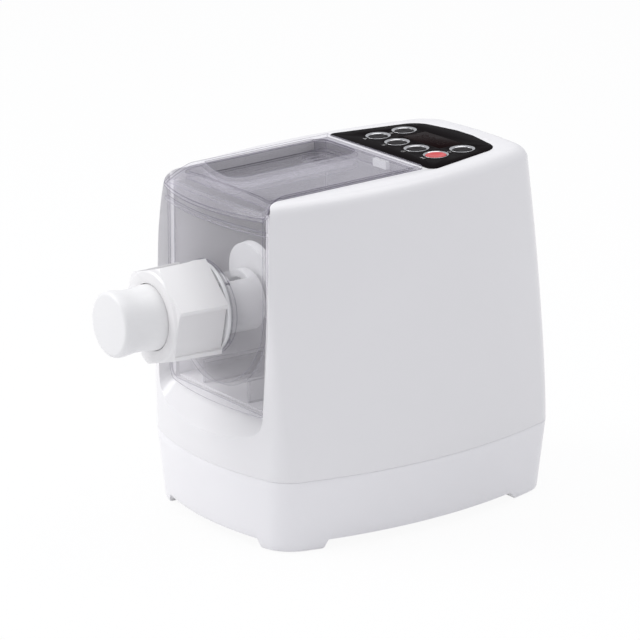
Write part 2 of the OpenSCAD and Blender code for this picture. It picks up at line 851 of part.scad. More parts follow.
module cooling_fan() {
  color("ivory") from_front() difference() {
    union() {
      rod(fan_front, fan_length, 10, motor_c);
      for (i = [0:fan_blades - 1]) translate([motor_c[0], fan_front + fan_length / 2, motor_c[1]])
        rotate([0, i * 360 / fan_blades, 0]) translate([8, 0, 0]) rotate([35, 0, 0])
          translate([0, -fan_length / 2, -0.8]) cube([fan_r - 8, fan_length, 1.6]);
    }
    rod(fan_front - 5, fan_length + 10, motor_shaft_r + seat_gap, motor_c);
  }
}

// ---------------------------------------------------------------- gears

function involute(a) = tan(a) * 180 / PI - a;
function tooth_half(r, base, teeth, pitch) = 90 / teeth - backlash / 4 / pitch * 180 / PI
  + involute(pressure_angle) - involute(acos(min(1, base / max(r, base))));
function polar(r, a) = [r * cos(a), r * sin(a)];

// Radii at which a tooth's flank is drawn
function flank_radii(root, base, pitch, tip) = base > root ? [root, base, pitch, tip] : [root, pitch, tip];

function gear_points(teeth, size, turn) =
  let (pitch = size * teeth / 2, base = pitch * cos(pressure_angle), tip = pitch + 0.95 * size,
    root = pitch - 1.2 * size, radii = flank_radii(root, base, pitch, tip), n = len(radii))
  [for (t = [0:teeth - 1], s = [-1, 1], k = [0:n - 1])
    let (r = radii[s < 0 ? k : n - 1 - k])
      polar(r, turn + t * 360 / teeth + s * tooth_half(r, base, teeth, pitch))];

// Turn of a gear that puts its gap on the mate's tooth
function mesh_turn(direction, mate_turn, mate_teeth, teeth) =
  direction + 180 - 180 / teeth + (direction - mate_turn) * mate_teeth / teeth;
function heading(from, to) = atan2(to[1] - from[1], to[0] - from[0]);

motor_turn = 0;
first_turn = mesh_turn(heading(motor_c, first_c), motor_turn, pinion_teeth, gear_teeth[0]);
second_turn = mesh_turn(heading(first_c, second_c), first_turn, pinion_teeth, gear_teeth[1]);
output_turn = mesh_turn(heading(second_c, output_c), second_turn, pinion_teeth, gear_teeth[2]);

module gear_body(stage, teeth, at, turn, over) {
  translate([at[0], 0, at[1]]) along_y(stage_y[stage] - over, stage_w[stage] + 2 * over)
    polygon(gear_points(teeth, stage_module[stage], turn));
}

module motor_pinion() {
  color("silver") from_front() difference() {
    gear_body(0, pinion_teeth, motor_c, motor_turn, pinion_over);
    rod(stage_y[0] - 5, 30, motor_shaft_r + seat_gap, motor_c);
  }
}

// Driven gear and the next stage's pinion in one piece, turning on a fixed pin
module compound_gear(stage, at, turn) {
  difference() {
    union() {
      gear_body(stage, gear_teeth[stage], at, turn, 0);
      gear_body(stage + 1, pinion_teeth, at, turn, pinion_over);
      rod(front_plate_y + plate_h + 0.5, back_plate_y - front_plate_y - plate_h - 1, 6.2, at);
    }
    rod(front_plate_y - 10, 80, pin_r + running_gap, at);
    // lightening holes
    for (i = [0:4]) rod(stage_y[stage] - 1, stage_w[stage] + 2, gear_r[stage] * 0.17,
      at + gear_r[stage] * 0.62 * [cos(72 * i), sin(72 * i)]);
  }
}

module first_gear() {
  color("ivory") from_front() compound_gear(0, first_c, first_turn);
}

module second_gear() {
  color("ivory") from_front() compound_gear(1, second_c, second_turn);
}

key_w = 4;
key_h = 4;

module key_space(grow) {
  translate([-key_w / 2 - grow, stage_y[2] - 2, axis_z + output_shaft_r - key_h / 2 - grow])
    cube([key_w + 2 * grow, stage_w[2] + 4, key_h + 2 * grow]);
}

module output_gear() {
  color("ivory") from_front() difference() {
    union() {
      gear_body(2, gear_teeth[2], output_c, output_turn, 0);
      rod(front_plate_y + plate_h + 2.5, 14, 14);
    }
    rod(front_plate_y - 10, 80, output_shaft_r + seat_gap);
    key_space(seat_gap);
  }
}

module gear_key() {
  color("silver") from_front() key_space(0);
}

module output_shaft() {
  color("silver") from_front() difference() {
    union() {
      rod(bay_back + 1, back_plate_y + plate_h + 2 - bay_back - 1, output_shaft_r);
      translate([0, bay_back + 2, axis_z]) rotate([90, 0, 0]) cylinder(h = dog_length, r = dog_r, $fn = 6);
    }
    key_space(seat_gap);
  }
}

module plate(y) {
  difference() {
    along_y(y, plate_h) rounded_box_2d(plate_x[0], plate_x[1], plate_z[0], plate_z[1], plate_r);
    for (p = spacer_at) rod(y - 1, plate_h + 2, bolt_r + 0.1, p);
    for (p = [first_c, second_c]) rod(y - 1, plate_h + 2, pin_r + seat_gap, p);
    rod(y - 1, plate_h + 2, output_shaft_r + bush_wall + seat_gap);
    rod(y - 1, plate_h + 2, motor_shaft_r + bush_wall + seat_gap, motor_c);
  }
}

module gearbox_front_plate() {
  color("silver") from_front() plate(front_plate_y);
}

module gearbox_back_plate() {
  color("silver") from_front() plate(back_plate_y);
}

module gearbox_spacers() {
  color("silver") from_front() for (p = spacer_at)
    tube(front_plate_y + plate_h, back_plate_y - front_plate_y - plate_h, spacer_r, bolt_r + 0.1, p);
}

module gearbox_bolts() {
  color("dimgray") from_front() for (p = spacer_at) {
    rod(bay_back + 1.4, back_plate_y + plate_h - bay_back - 1.4 + sliver, bolt_r, p);
    rod(back_plate_y + plate_h, 3, 4, p);
  }
}

module shaft_bushes() {
  color("#b08d57") from_front() for (y = [front_plate_y, back_plate_y]) {
    tube(y, plate_h, output_shaft_r + bush_wall, output_shaft_r + running_gap);
    tube(y, plate_h, motor_shaft_r + bush_wall, motor_shaft_r + running_gap, motor_c);
  }
}

module idler_pins() {
  color("silver") from_front() for (p = [first_c, second_c])
    rod(front_plate_y - 1, back_plate_y + plate_h + 2 - front_plate_y, pin_r, p);
}

// ---------------------------------------------------------------- mains parts

module power_board() {
  color("darkgreen") from_front() translate([-power_half_w, power_y[0], board_z])
    cube([2 * power_half_w, power_y[1] - power_y[0], board_h]);
}

module power_parts() {
  color("black") from_front() for (p = power_part_size)
    translate([p[0] - p[1] / 2, (power_y[0] + power_y[1]) / 2 - p[2] / 2, board_z + board_h])
      cube([p[1], p[2], p[3]]);
}

module run_capacitor() {
  color("lightgray") from_front()
    rod(capacitor_y[0], capacitor_y[1] - capacitor_y[0], capacitor_r,
      [capacitor_x, tray_floor + capacitor_r + 0.05]);
}

module cord_gland() {
  color("#d8d8da") from_front() difference() {
    union() {
      rod(gland_face - gland_length, gland_length, gland_r, [gland_x, gland_z]);
      rod(gland_face, 3, gland_r + 3, [gland_x, gland_z]);
      rod(gland_face - gland_boss - 4.1, 4, gland_r + 2, [gland_x, gland_z]);
    }
    rod(gland_face - 40, 60, gland_bore_r, [gland_x, gland_z]);
  }
}

// ---------------------------------------------------------------- container

// Everything behind the curved front face, moved back by inset
module behind_window(inset) {
  translate([0, front_plate_r - window_bulge, 0]) cylinder(h = far, r = front_plate_r - inset, $fn = 128);
}

module trough(half_w, y0, y1, top) {
  along_y(y0, y1 - y0) {
    translate([0, axis_z]) circle(half_w);
    translate([-half_w, axis_z]) square([2 * half_w, top - axis_z]);
  }
}

module front_plate_shape() {
  half_w = front_plate_half_w;
  low = window_z + 0.3;
  along_y(-20, 40) {
    rounded_box_2d(-half_w, half_w, low, deck_front_z, 9);
    translate([-half_w, deck_front_z - 30]) square([2 * half_w, 30]);
  }
}

module container() {
  color("#dcd8e6", 0.35) from_front() difference() {
    union() {
      intersection() {
        trough(container_half_w, -20, container_back, deck_back_z);
        behind_window(0);
      }
      difference() {
        intersection() {
          front_plate_shape();
          behind_window(0);
        }
        translate([-far / 2, window_seat - sliding_gap, 0]) cube([far, 40, far]);
      }
      // rim under the lid's lip
      intersection() {
        translate([0, front_plate_r - window_bulge, rim_z - rim_h])
          cylinder(h = rim_h, r = front_plate_r + rim_step, $fn = 128);
        translate([-front_plate_half_w, window_seat - sliding_gap - 40, 0])
          cube([2 * front_plate_half_w, 40, far]);
      }
      // boss for the barrel
      rod(boss_front, 8, boss_r);
      // rails that it slides on
      both_sides() translate([rail_x, 8, window_z + liner_wall + sliding_gap])
        cube([rail_w, container_back - 12, 24]);
    }
    intersection() {
      trough(trough_inner_r, -20, container_back - container_wall, deck_back_z);
      behind_window(front_wall);
    }
    rod(-30, 40, barrel_r + sliding_gap);
    rod(container_back - 10, 20, seal_r + seat_gap);
    for (p = barrel_screw_c) rod(-20, 24, barrel_screw_r + seat_gap, p);
    translate([0, 0, -seat_gap]) above_lid(lid_under);
  }
}

module shaft_seal() {
  color("dimgray") from_front() tube(container_back - 3.5, 3.5, seal_r, shaft_end_r + running_gap);
}

module barrel() {
  color("white") from_front() difference() {
    union() {
      rod(boss_front - gasket_h - flange_h, flange_h, barrel_flange_r);
      rod(barrel_front, boss_front - gasket_h - barrel_front, thread_r);
      rod(boss_front - gasket_h - 1, barrel_back - boss_front + gasket_h + 1, barrel_r);
    }
    rod(barrel_front - 1, far, barrel_bore_r);
    // opening that the dough falls in through
    translate([-12, 4, axis_z]) cube([24, 16, 40]);
    for (p = barrel_screw_c) rod(-30, 30, barrel_screw_r + 0.2, p);
  }
}

module barrel_gasket() {
  color("gainsboro") from_front() difference() {
    tube(boss_front - gasket_h, gasket_h, barrel_flange_r - 0.5, barrel_r + 0.1);
    for (p = barrel_screw_c) rod(-30, 30, barrel_screw_r + 0.2, p);
  }
}

module barrel_screws() {
  color("silver") from_front() for (p = barrel_screw_c) {
    rod(boss_front - gasket_h - flange_h, 9, barrel_screw_r, p);
    rod(boss_front - gasket_h - flange_h - 1.6, 1.6, 2.4, p);
  }
}

// Steel shaft with the socket that the drive dog enters
module paddle_shaft() {
  color("silver") from_front() difference() {
    union() {
      rod(barrel_front + 2, paddle_back - barrel_front, core_r);
      rod(paddle_back, container_back - 0.4 - paddle_back, shaft_end_r);
    }
    translate([0, container_back + 1, axis_z]) rotate([90, 0, 0])
      cylinder(h = dog_length - 2.6, r = dog_r + dog_gap, $fn = 6);
  }
}

// One broad arm with a round tip, pitched a little so that it pushes the dough forwards
module paddle_arm(y, direction) {
  translate([0, y, axis_z]) rotate([arm_pitch, 0, 0]) rotate([0, -direction, 0])
    translate([0, arm_h / 2, 0]) rotate([90, 0, 0]) linear_extrude(arm_h) {
      translate([0, -arm_root_w / 2]) square([arm_reach - arm_tip_r, arm_root_w]);
      translate([arm_reach - arm_tip_r, 0]) circle(arm_tip_r);
    }
}

module mixing_paddle() {
  color("white") from_front() difference() {
    union() {
      rod(paddle_front, paddle_back - paddle_front, hub_r);
      for (i = [0:2]) paddle_arm(arm_at[i], arm_direction - 120 * i);
    }
    rod(0, far, core_r + seat_gap);
  }
}

module auger() {
  length = auger_back - barrel_front - 4;
  color("white") from_front() difference() {
    union() {
      rod(barrel_front + 4, length, auger_core_r);
      translate([0, auger_back, axis_z]) rotate([90, 0, 0])
        linear_extrude(length, twist = -360 * length / auger_pitch, slices = 48, $fn = 8) flight_section();
    }
    rod(barrel_front - 5, far, core_r + seat_gap);
  }
}

// Cross-section of the flight: a lobe that reaches from the core to the tip
module flight_section() {
  tip = barrel_bore_r - 0.6;
  polygon([for (a = [-120:30:120]) (auger_core_r - 1 + (tip - auger_core_r + 1)
    * pow(cos(a * 0.7), 3)) * [cos(a), sin(a)]]);
}

// ---------------------------------------------------------------- lid

module on_lid() {
  on_deck() translate([0, 0, lid_proud]) children();
}

// Top of the lid by its distance from the centre of its bow: level, then down to the lip
function lid_top(k) = [lid_bow_r + (lid_lip_r - lid_bow_r) * k / lid_steps,
  -(lid_drop + lid_proud) * pow(k / lid_steps, 1.7)];

module lid_sheet() {
  on_lid() translate([0, lid_bow_y, 0]) rotate_extrude($fn = 180)
    polygon(concat([[0, 0]], [for (k = [0:lid_steps]) lid_top(k)],
      [for (k = [lid_steps:-1:0]) lid_top(k) - [0, lid_under]], [[0, -lid_under]]));
}

// Everything above the lid's top, lowered
module above_lid(lowered) {
  on_lid() translate([0, lid_bow_y, 0]) rotate_extrude($fn = 180)
    polygon(concat([[0, far / 2], [0, -lowered]], [for (k = [0:lid_steps]) lid_top(k) - [0, lowered]],
      [[far, -lid_drop - lid_proud - lowered], [far, far / 2]]));
}

module lid_plan() {
  step_y = window_seat - 1;
  translate([-lid_half_w, step_y - 1]) square([2 * lid_half_w, lid_back - step_y + 1]);
  translate([0, -1]) bay_mouth(lid_half_w - 1, lid_lip_half_w);
  intersection() {
    rounded_box_2d(-lid_lip_half_w, lid_lip_half_w, lid_lip - 2, step_y + 30, lid_corner_r);
    translate([0, lid_bow_y]) circle(lid_lip_r, $fn = 180);
    translate([-far / 2, -far / 2]) square([far, far / 2 + step_y]);
  }
}

module tray_hole(grow, low, high) {
  on_lid() translate([0, 0, low]) linear_extrude(high - low) intersection() {
    rounded_box_2d(-tray_side - grow, -tray_middle + grow, tray_front - grow, tray_back + grow,
      tray_corner_r + grow);
    translate([0, lid_bow_y]) circle(lid_bow_y - tray_front + grow, $fn = 180);
  }
}

module lid() {
  color("#dcd8e6", 0.35) from_front() difference() {
    union() {
      // sheet with its lip
      intersection() {
        lid_sheet();
        translate([0, 0, deck_front_z - 40]) linear_extrude(far) lid_plan();
      }
      // skirt inside the container's walls
      difference() {
        on_lid() translate([0, 0, -lid_under - lid_skirt_h]) linear_extrude(lid_skirt_h + 1)
          skirt_ring(trough_inner_r - skirt_gap);
        on_lid() translate([0, 0, -lid_under - lid_skirt_h - 1]) linear_extrude(lid_skirt_h + 4)
          skirt_ring(trough_inner_r - skirt_gap - lid_skirt_wall);
        above_lid(1);
      }
      // filling tray
      tray_hole(lid_wall, -tray_depth - lid_wall, -1);
    }
    tray_hole(0, -tray_depth, 5);
    on_lid() for (i = [0:4]) translate([-tray_side + 8 + i * 8, tray_back - 8 - drain_l, -30])
      cube([drain_w, drain_l, 25]);
  }
}

module skirt_ring(half_w) {
  lost = trough_inner_r - skirt_gap - half_w;
  rounded_box_2d(-half_w, half_w, 9 + lost, container_back - container_wall - skirt_gap - lost, 5);
}

module lid_magnet() {
  magnet_y = container_back - container_wall - skirt_gap - lid_skirt_wall - magnet_size[1];
  color("whitesmoke") from_front() on_lid()
    translate([magnet_at[0] - magnet_size[0] / 2, magnet_y, -lid_under - magnet_size[2]])
      cube(magnet_size);
}

// ---------------------------------------------------------------- spout and nut

module spout() {
  seat = nut_front - nut_wall - 0.1;
  color("white") from_front() difference() {
    translate([0, 0, axis_z]) rotate([90, 0, 0]) rotate_extrude() polygon(concat(
      [[0, -barrel_front + 0.4], [spout_flange_r, -barrel_front + 0.4], [spout_flange_r, seat]],
      [[spout_r, seat], [spout_r, nut_front + 3], [spout_r - spout_waist, nut_front + 12]],
      [[spout_r - spout_waist, spout_tip - 16], [spout_r, spout_tip - 7]],
      [for (a = [0:15:90]) [spout_r - spout_edge + spout_edge * cos(a),
        spout_tip - spout_edge + spout_edge * sin(a)]],
      [[0, spout_tip]]
    ));
    // pocket for the die, then the dough's way to the outlet in the underside
    rod(barrel_front - die_h - 0.5, 10, die_r + sliding_gap);
    rod(-spout_tip + spout_wall, spout_tip - spout_wall + barrel_front, spout_bore_r);
    translate([0, outlet_y, axis_z - 60]) cylinder(h = 60, r = outlet_r);
  }
}

module die_disc() {
  color("silver") from_front() difference() {
    rod(barrel_front - die_h - 0.4, die_h, die_r);
    for (i = [0:11]) rod(barrel_front - 20, 40, 1.6, output_c + 14.5 * [cos(30 * i), sin(30 * i)]);
    for (i = [0:5]) rod(barrel_front - 20, 40, 1.6, output_c + 8 * [cos(60 * i), sin(60 * i)]);
  }
}

module die_seal() {
  color("gainsboro") from_front() tube(barrel_front - 0.38, 0.36, thread_r - 1.5, die_r + 0.8);
}

// Six sides with a rounded front, and a grip let into every other side
module ring_nut() {
  length = nut_front + nut_back;
  rise = nut_corner_r + 1 - nut_front_r;
  color("white") from_front() difference() {
    intersection() {
      translate([0, nut_back, axis_z]) rotate([90, 0, 0]) rotate([0, 0, nut_turn])
        cylinder(h = length, r1 = nut_corner_r, r2 = nut_corner_r - nut_taper, $fn = 6);
      translate([0, 0, axis_z]) rotate([90, 0, 0]) rotate_extrude() polygon(concat(
        [[0, 0], [nut_front_r + rise, 0]],
        [for (a = [0:15:90]) [nut_front_r + rise * cos(a), nut_front - nut_edge - nut_round * (1 - sin(a))]],
        [[nut_front_r - nut_edge, nut_front], [0, nut_front]]
      ));
    }
    for (i = [0:2]) translate([0, 0, axis_z]) rotate([90, 0, 0]) rotate([0, 0, nut_turn - 30 + 120 * i])
      translate([nut_grip_r, -nut_grip_half_w, -nut_back - 1])
        cube([20, 2 * nut_grip_half_w, length + 1 - nut_grip_front]);
    rod(-nut_front + nut_wall, nut_front, thread_r + sliding_gap);
    rod(-nut_front - 5, 20, spout_r + sliding_gap + 0.3);
  }
}

upper_housing();
base_tray();
foot_pads();
base_screws();
bay_liner();
liner_screws();
control_overlay();
display_window();
button_rings();
control_board();
key_switches();
board_screws();
reed_switch();
motor_saddles();
motor_straps();
motor_can();
motor_bells();
stator_core();
stator_windings();
gearbox_front_plate();
gearbox_back_plate();
gearbox_spacers();
gearbox_bolts();
shaft_bushes();
idler_pins();
power_board();
power_parts();
run_capacitor();
cord_gland();
motor_shaft();
rotor_core();
motor_pinion();
cooling_fan();
first_gear();
second_gear();
output_gear();
output_shaft();
gear_key();
container();
shaft_seal();
barrel();
barrel_gasket();
barrel_screws();
paddle_shaft();
mixing_paddle();
auger();
lid();
lid_magnet();
spout();
die_disc();
die_seal();
ring_nut();
knead_button();
extrude_button();
timer_button();
start_button();
mode_button();
power_button();
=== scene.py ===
# %% [markdown]
# # An electric pasta maker
# The machine has a leaning white body, a clear container that slides out at the front, a ring nut with a
# spout, a lift-off lid and a black key panel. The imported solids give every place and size. They could be
# shown as they are, but their edges are sharp and the body's curved sides are cut into flat strips. So this
# lesson makes the outer skins finer, rounds their edges and gives each piece a finish.

# %% Load the frame
import json
import math

import bmesh
import bpy
import numpy as np
from mathutils import Matrix, Vector


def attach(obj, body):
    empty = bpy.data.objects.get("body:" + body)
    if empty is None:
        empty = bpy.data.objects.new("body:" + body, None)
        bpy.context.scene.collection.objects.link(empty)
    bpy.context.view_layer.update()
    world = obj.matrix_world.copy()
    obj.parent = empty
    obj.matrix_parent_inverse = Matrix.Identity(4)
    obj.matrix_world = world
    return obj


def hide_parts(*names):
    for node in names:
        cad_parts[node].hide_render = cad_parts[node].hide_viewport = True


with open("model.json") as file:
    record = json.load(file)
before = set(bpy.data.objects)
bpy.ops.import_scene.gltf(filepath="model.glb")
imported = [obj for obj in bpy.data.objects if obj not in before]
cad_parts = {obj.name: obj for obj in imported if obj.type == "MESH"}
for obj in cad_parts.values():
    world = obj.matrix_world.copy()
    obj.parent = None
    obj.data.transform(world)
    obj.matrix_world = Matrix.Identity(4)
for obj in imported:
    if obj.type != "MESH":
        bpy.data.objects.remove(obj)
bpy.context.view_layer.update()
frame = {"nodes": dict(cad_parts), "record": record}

# %% [markdown]
# ## Measures
# The solids were drawn in millimetres from the body's front line, and places are easier to read that way
# here too. `spot` turns such a place into metres in the frame. `deck` does the same for a place given along
# the tilted top and up from it, as the places on the key panel are.

# %% Places
MM = 0.001
FRONT, BACK_Y = -86.25, 268.0
DECK_Z, DECK_TILT = 266.6, math.radians(2.2)
QUARTER, FULL_TURN = math.pi / 2, 2 * math.pi


def spot(x, y, z):
    return Vector((x, y + FRONT, z)) * MM


def deck(x, along, up):
    return spot(x, along * math.cos(DECK_TILT) - up * math.sin(DECK_TILT),
                DECK_Z + along * math.sin(DECK_TILT) + up * math.cos(DECK_TILT))


print("back of the deck at", round(deck(0, BACK_Y, 0).z, 4), "m")

# %% [markdown]
# ## Camera
# The photograph was taken with a long lens from the front right, a little above the machine. A camera could
# be aimed by eye, but then no edge would lie where it does in the photograph. So the lens length, the
# camera's place and its directions were worked out from the body's own edges.

# %% Camera
PHOTO_WIDTH, LENS_PIXELS = 640, 3500.12
SENSOR = 36.0
CAMERA_SPOT = (2109.11, -1383.67, 917.08)
right = Vector((0.57398, 0.81887, 0.0))
back = Vector((0.78457, -0.54994, 0.28640))
up = back.cross(right)
camera_data = bpy.data.cameras.new("camera")
camera_data.sensor_width = SENSOR
camera_data.lens = SENSOR * LENS_PIXELS / PHOTO_WIDTH
camera_data.clip_end = 50.0
camera = bpy.data.objects.new("camera", camera_data)
turn = Matrix((right, up, back)).transposed().to_4x4()
camera.matrix_world = Matrix.Translation(spot(*CAMERA_SPOT)) @ turn
bpy.context.scene.collection.objects.link(camera)
bpy.context.scene.camera = camera
print("lens", round(camera_data.lens, 1), "mm")

# %% [markdown]
# ## Node helpers
# Every finish starts from one Principled shader. Noise in object space drives small changes of colour,
# roughness and bump, so a moulded face doesn't look like a flat fill. Object space is used because the noise
# then stays on a piece when it moves.

# %% Node helpers
NOISE_LOW, NOISE_HIGH = 0.3, 0.7


def new_material(name):
    material = bpy.data.materials.new(name)
    material.use_nodes = True
    tree = material.node_tree
    tree.nodes.clear()
    out = tree.nodes.new("ShaderNodeOutputMaterial")
    shader = tree.nodes.new("ShaderNodeBsdfPrincipled")
    tree.links.new(shader.outputs["BSDF"], out.inputs["Surface"])
    return material, tree, shader


def noise(tree, scale, detail=3.0, stretch=(1, 1, 1)):
    place = tree.nodes.new("ShaderNodeTexCoord")
    mapping = tree.nodes.new("ShaderNodeMapping")
    mapping.inputs["Scale"].default_value = stretch
    texture = tree.nodes.new("ShaderNodeTexNoise")
    texture.inputs["Scale"].default_value = scale
    texture.inputs["Detail"].default_value = detail
    tree.links.new(place.outputs["Object"], mapping.inputs["Vector"])
    tree.links.new(mapping.outputs["Vector"], texture.inputs["Vector"])
    return texture.outputs["Fac"]


def spread(tree, value, low, high):
    """Stretches a noise, whose values lie mostly between 0.3 and 0.7, over the range asked for."""
    node = tree.nodes.new("ShaderNodeMapRange")
    node.inputs["From Min"].default_value = NOISE_LOW
    node.inputs["From Max"].default_value = NOISE_HIGH
    node.inputs["To Min"].default_value = low
    node.inputs["To Max"].default_value = high
    tree.links.new(value, node.inputs["Value"])
    return node.outputs["Result"]


def tint(tree, value, dark, light):
    node = tree.nodes.new("ShaderNodeMix")
    node.data_type = "RGBA"
    node.inputs["A"].default_value = (*dark, 1)
    node.inputs["B"].default_value = (*light, 1)
    tree.links.new(spread(tree, value, 0, 1), node.inputs["Factor"])
    return node.outputs["Result"]


def bump(tree, shader, value, height, strength):
    node = tree.nodes.new("ShaderNodeBump")
    node.inputs["Distance"].default_value = height
    node.inputs["Strength"].default_value = strength
    tree.links.new(value, node.inputs["Height"])
    tree.links.new(node.outputs["Normal"], shader.inputs["Normal"])


def shade(colour, factor):
    return tuple(min(1.0, c * factor) for c in colour)


print("node helpers ready")

# %% [markdown]
# ## Moulded plastic
# The body, the keys, the feet and most pieces inside are moulded. Plain colours would look like paper, so
# each plastic has faint flow marks in its colour, small changes of gloss and a very fine bump. The body also
# has a thin clear coat, which stands for the polished mould. The black panel and its display are nearly
# without gloss from the front, so their specular level is low. Heights of the bump are in metres.

# %% Moulded plastics and rubber
FLOW_MARKS, GLOSS_MARKS = 14, 60
GLOSS_CHANGE, GRAIN_STRENGTH = 0.08, 0.35
COAT_ROUGH = 0.12


def plastic(name, colour, rough, grain=900, height=0.00002, vary=0.03, coat=0.0, specular=0.5):
    """Moulded plastic: faint flow marks in the colour and a fine orange-peel bump."""
    material, tree, shader = new_material(name)
    flow = noise(tree, FLOW_MARKS)
    gloss = noise(tree, GLOSS_MARKS)
    tree.links.new(tint(tree, flow, shade(colour, 1 - vary), colour), shader.inputs["Base Color"])
    tree.links.new(spread(tree, gloss, rough * (1 - GLOSS_CHANGE), rough * (1 + GLOSS_CHANGE)),
                   shader.inputs["Roughness"])
    bump(tree, shader, noise(tree, grain, 2), height, GRAIN_STRENGTH)
    shader.inputs["Specular IOR Level"].default_value = specular
    shader.inputs["Coat Weight"].default_value = coat
    shader.inputs["Coat Roughness"].default_value = COAT_ROUGH
    return material


PLASTICS = {
    "white_shell": dict(colour=(0.80, 0.79, 0.80), rough=0.30, vary=0.012, coat=0.25),
    "base_white": dict(colour=(0.84, 0.83, 0.845), rough=0.34, vary=0.012, coat=0.15),
    "liner_white": dict(colour=(0.90, 0.89, 0.905), rough=0.5, vary=0.02),
    "nut_white": dict(colour=(0.81, 0.80, 0.80), rough=0.34, grain=800, vary=0.012, coat=0.1),
    "spout_white": dict(colour=(0.80, 0.795, 0.795), rough=0.38, grain=800, vary=0.015),
    "paddle_white": dict(colour=(0.88, 0.88, 0.885), rough=0.4, grain=700, height=0.00003, vary=0.02),
    "barrel_white": dict(colour=(0.82, 0.82, 0.825), rough=0.4, grain=700, height=0.00003, vary=0.02),
    "magnet_white": dict(colour=(0.80, 0.80, 0.81), rough=0.4, grain=700, vary=0.02),
    "overlay_black": dict(colour=(0.0075, 0.0058, 0.0064), rough=0.3, grain=1500, height=0.000004, vary=0.1,
                          specular=0.002),
    "display_dark": dict(colour=(0.0085, 0.0035, 0.0037), rough=0.25, grain=1500, height=0.000003, vary=0.1,
                         specular=0.004),
    "display_ghost": dict(colour=(0.014, 0.0065, 0.0065), rough=0.3, height=0.000003, vary=0.1,
                          specular=0.004),
    "printed_white": dict(colour=(0.42, 0.41, 0.41), rough=0.5, height=0.000004, vary=0.1),
    "key_black": dict(colour=(0.012, 0.010, 0.011), rough=0.3, height=0.00001, vary=0.15, specular=0.02),
    "key_red": dict(colour=(0.58, 0.035, 0.040), rough=0.3, height=0.00001, vary=0.06),
    "foot_rubber": dict(colour=(0.03, 0.03, 0.03), rough=0.75, grain=500, height=0.0001, vary=0.2),
    "seal_grey": dict(colour=(0.45, 0.45, 0.46), rough=0.6, grain=500, height=0.00005, vary=0.08),
    "board_green": dict(colour=(0.02, 0.12, 0.05), rough=0.45, grain=700, height=0.00003, vary=0.2),
    "black_parts": dict(colour=(0.02, 0.02, 0.02), rough=0.5, grain=700, height=0.00003, vary=0.2),
    "gear_plastic": dict(colour=(0.70, 0.65, 0.54), rough=0.45, grain=500, vary=0.06),
    "saddle_grey": dict(colour=(0.16, 0.16, 0.17), rough=0.55, grain=500, height=0.00005, vary=0.1),
    "capacitor_grey": dict(colour=(0.55, 0.55, 0.56), rough=0.4, grain=500, vary=0.05),
    "gland_grey": dict(colour=(0.62, 0.62, 0.63), rough=0.5, grain=500, height=0.00003, vary=0.05),
}
FINISH = {name: plastic(name, **look) for name, look in PLASTICS.items()}
print("plastics:", len(FINISH))

# %% [markdown]
# ## Metal
# Only the bright rings round the keys show from outside. The shafts, screws, motor and die are inside. Bare
# metal carries marks of the tool that made it, so its noise is stretched along the direction of brushing or
# turning. One noise drives the colour, the gloss and the bump, because on metal they change together.

# %% Metals
MARK_DARK, MARK_GLOSS, MARK_STRENGTH = 0.82, 0.3, 0.3


def metal(name, colour, rough, stretch=(1, 1, 1), grain=500, height=0.00002):
    """Bare metal: the noise is stretched along the direction of brushing or turning."""
    material, tree, shader = new_material(name)
    marks = noise(tree, grain, 4, stretch)
    tree.links.new(tint(tree, marks, shade(colour, MARK_DARK), colour), shader.inputs["Base Color"])
    tree.links.new(spread(tree, marks, rough * (1 - MARK_GLOSS), rough * (1 + MARK_GLOSS)),
                   shader.inputs["Roughness"])
    shader.inputs["Metallic"].default_value = 1.0
    bump(tree, shader, marks, height, MARK_STRENGTH)
    return material


METALS = {
    "steel": dict(colour=(0.60, 0.60, 0.61), rough=0.28, stretch=(1, 12, 1)),
    "bright_ring": dict(colour=(0.62, 0.62, 0.63), rough=0.16, grain=900),
    "motor_steel": dict(colour=(0.34, 0.34, 0.35), rough=0.38, stretch=(1, 8, 1)),
    "bell_metal": dict(colour=(0.58, 0.58, 0.59), rough=0.5, grain=300, height=0.00008),
    "core_steel": dict(colour=(0.26, 0.26, 0.27), rough=0.45, stretch=(1, 40, 1), grain=400, height=0.00006),
    "winding_copper": dict(colour=(0.62, 0.25, 0.10), rough=0.35, stretch=(1, 30, 1), height=0.0001),
    "bearing_bronze": dict(colour=(0.50, 0.34, 0.15), rough=0.4),
    "die_metal": dict(colour=(0.66, 0.50, 0.22), rough=0.3),
}
FINISH.update({name: metal(name, **look) for name, look in METALS.items()})
print("metals:", len(METALS))

# %% [markdown]
# ## Clear plastic
# The container and its lid are clear, and the paddle shows through both. Real bending of light through two
# or three walls would need many more samples to come out clean. So the walls are thin and mostly see-through
# instead: the alpha is low where a face looks at the camera and higher where it turns away, and the tint
# deepens in the same way, as painted shade for the dark look of a clear wall seen edge-on. The two edge
# finishes are darker and denser: they paint the dark lines that bent light draws along the mouldings.

# %% Clear plastics
FACING_BLEND, FACING_START = 0.3, 0.3
WALL_GLOSS, WALL_TINT, WALL_WAVES = 40, 9, 55


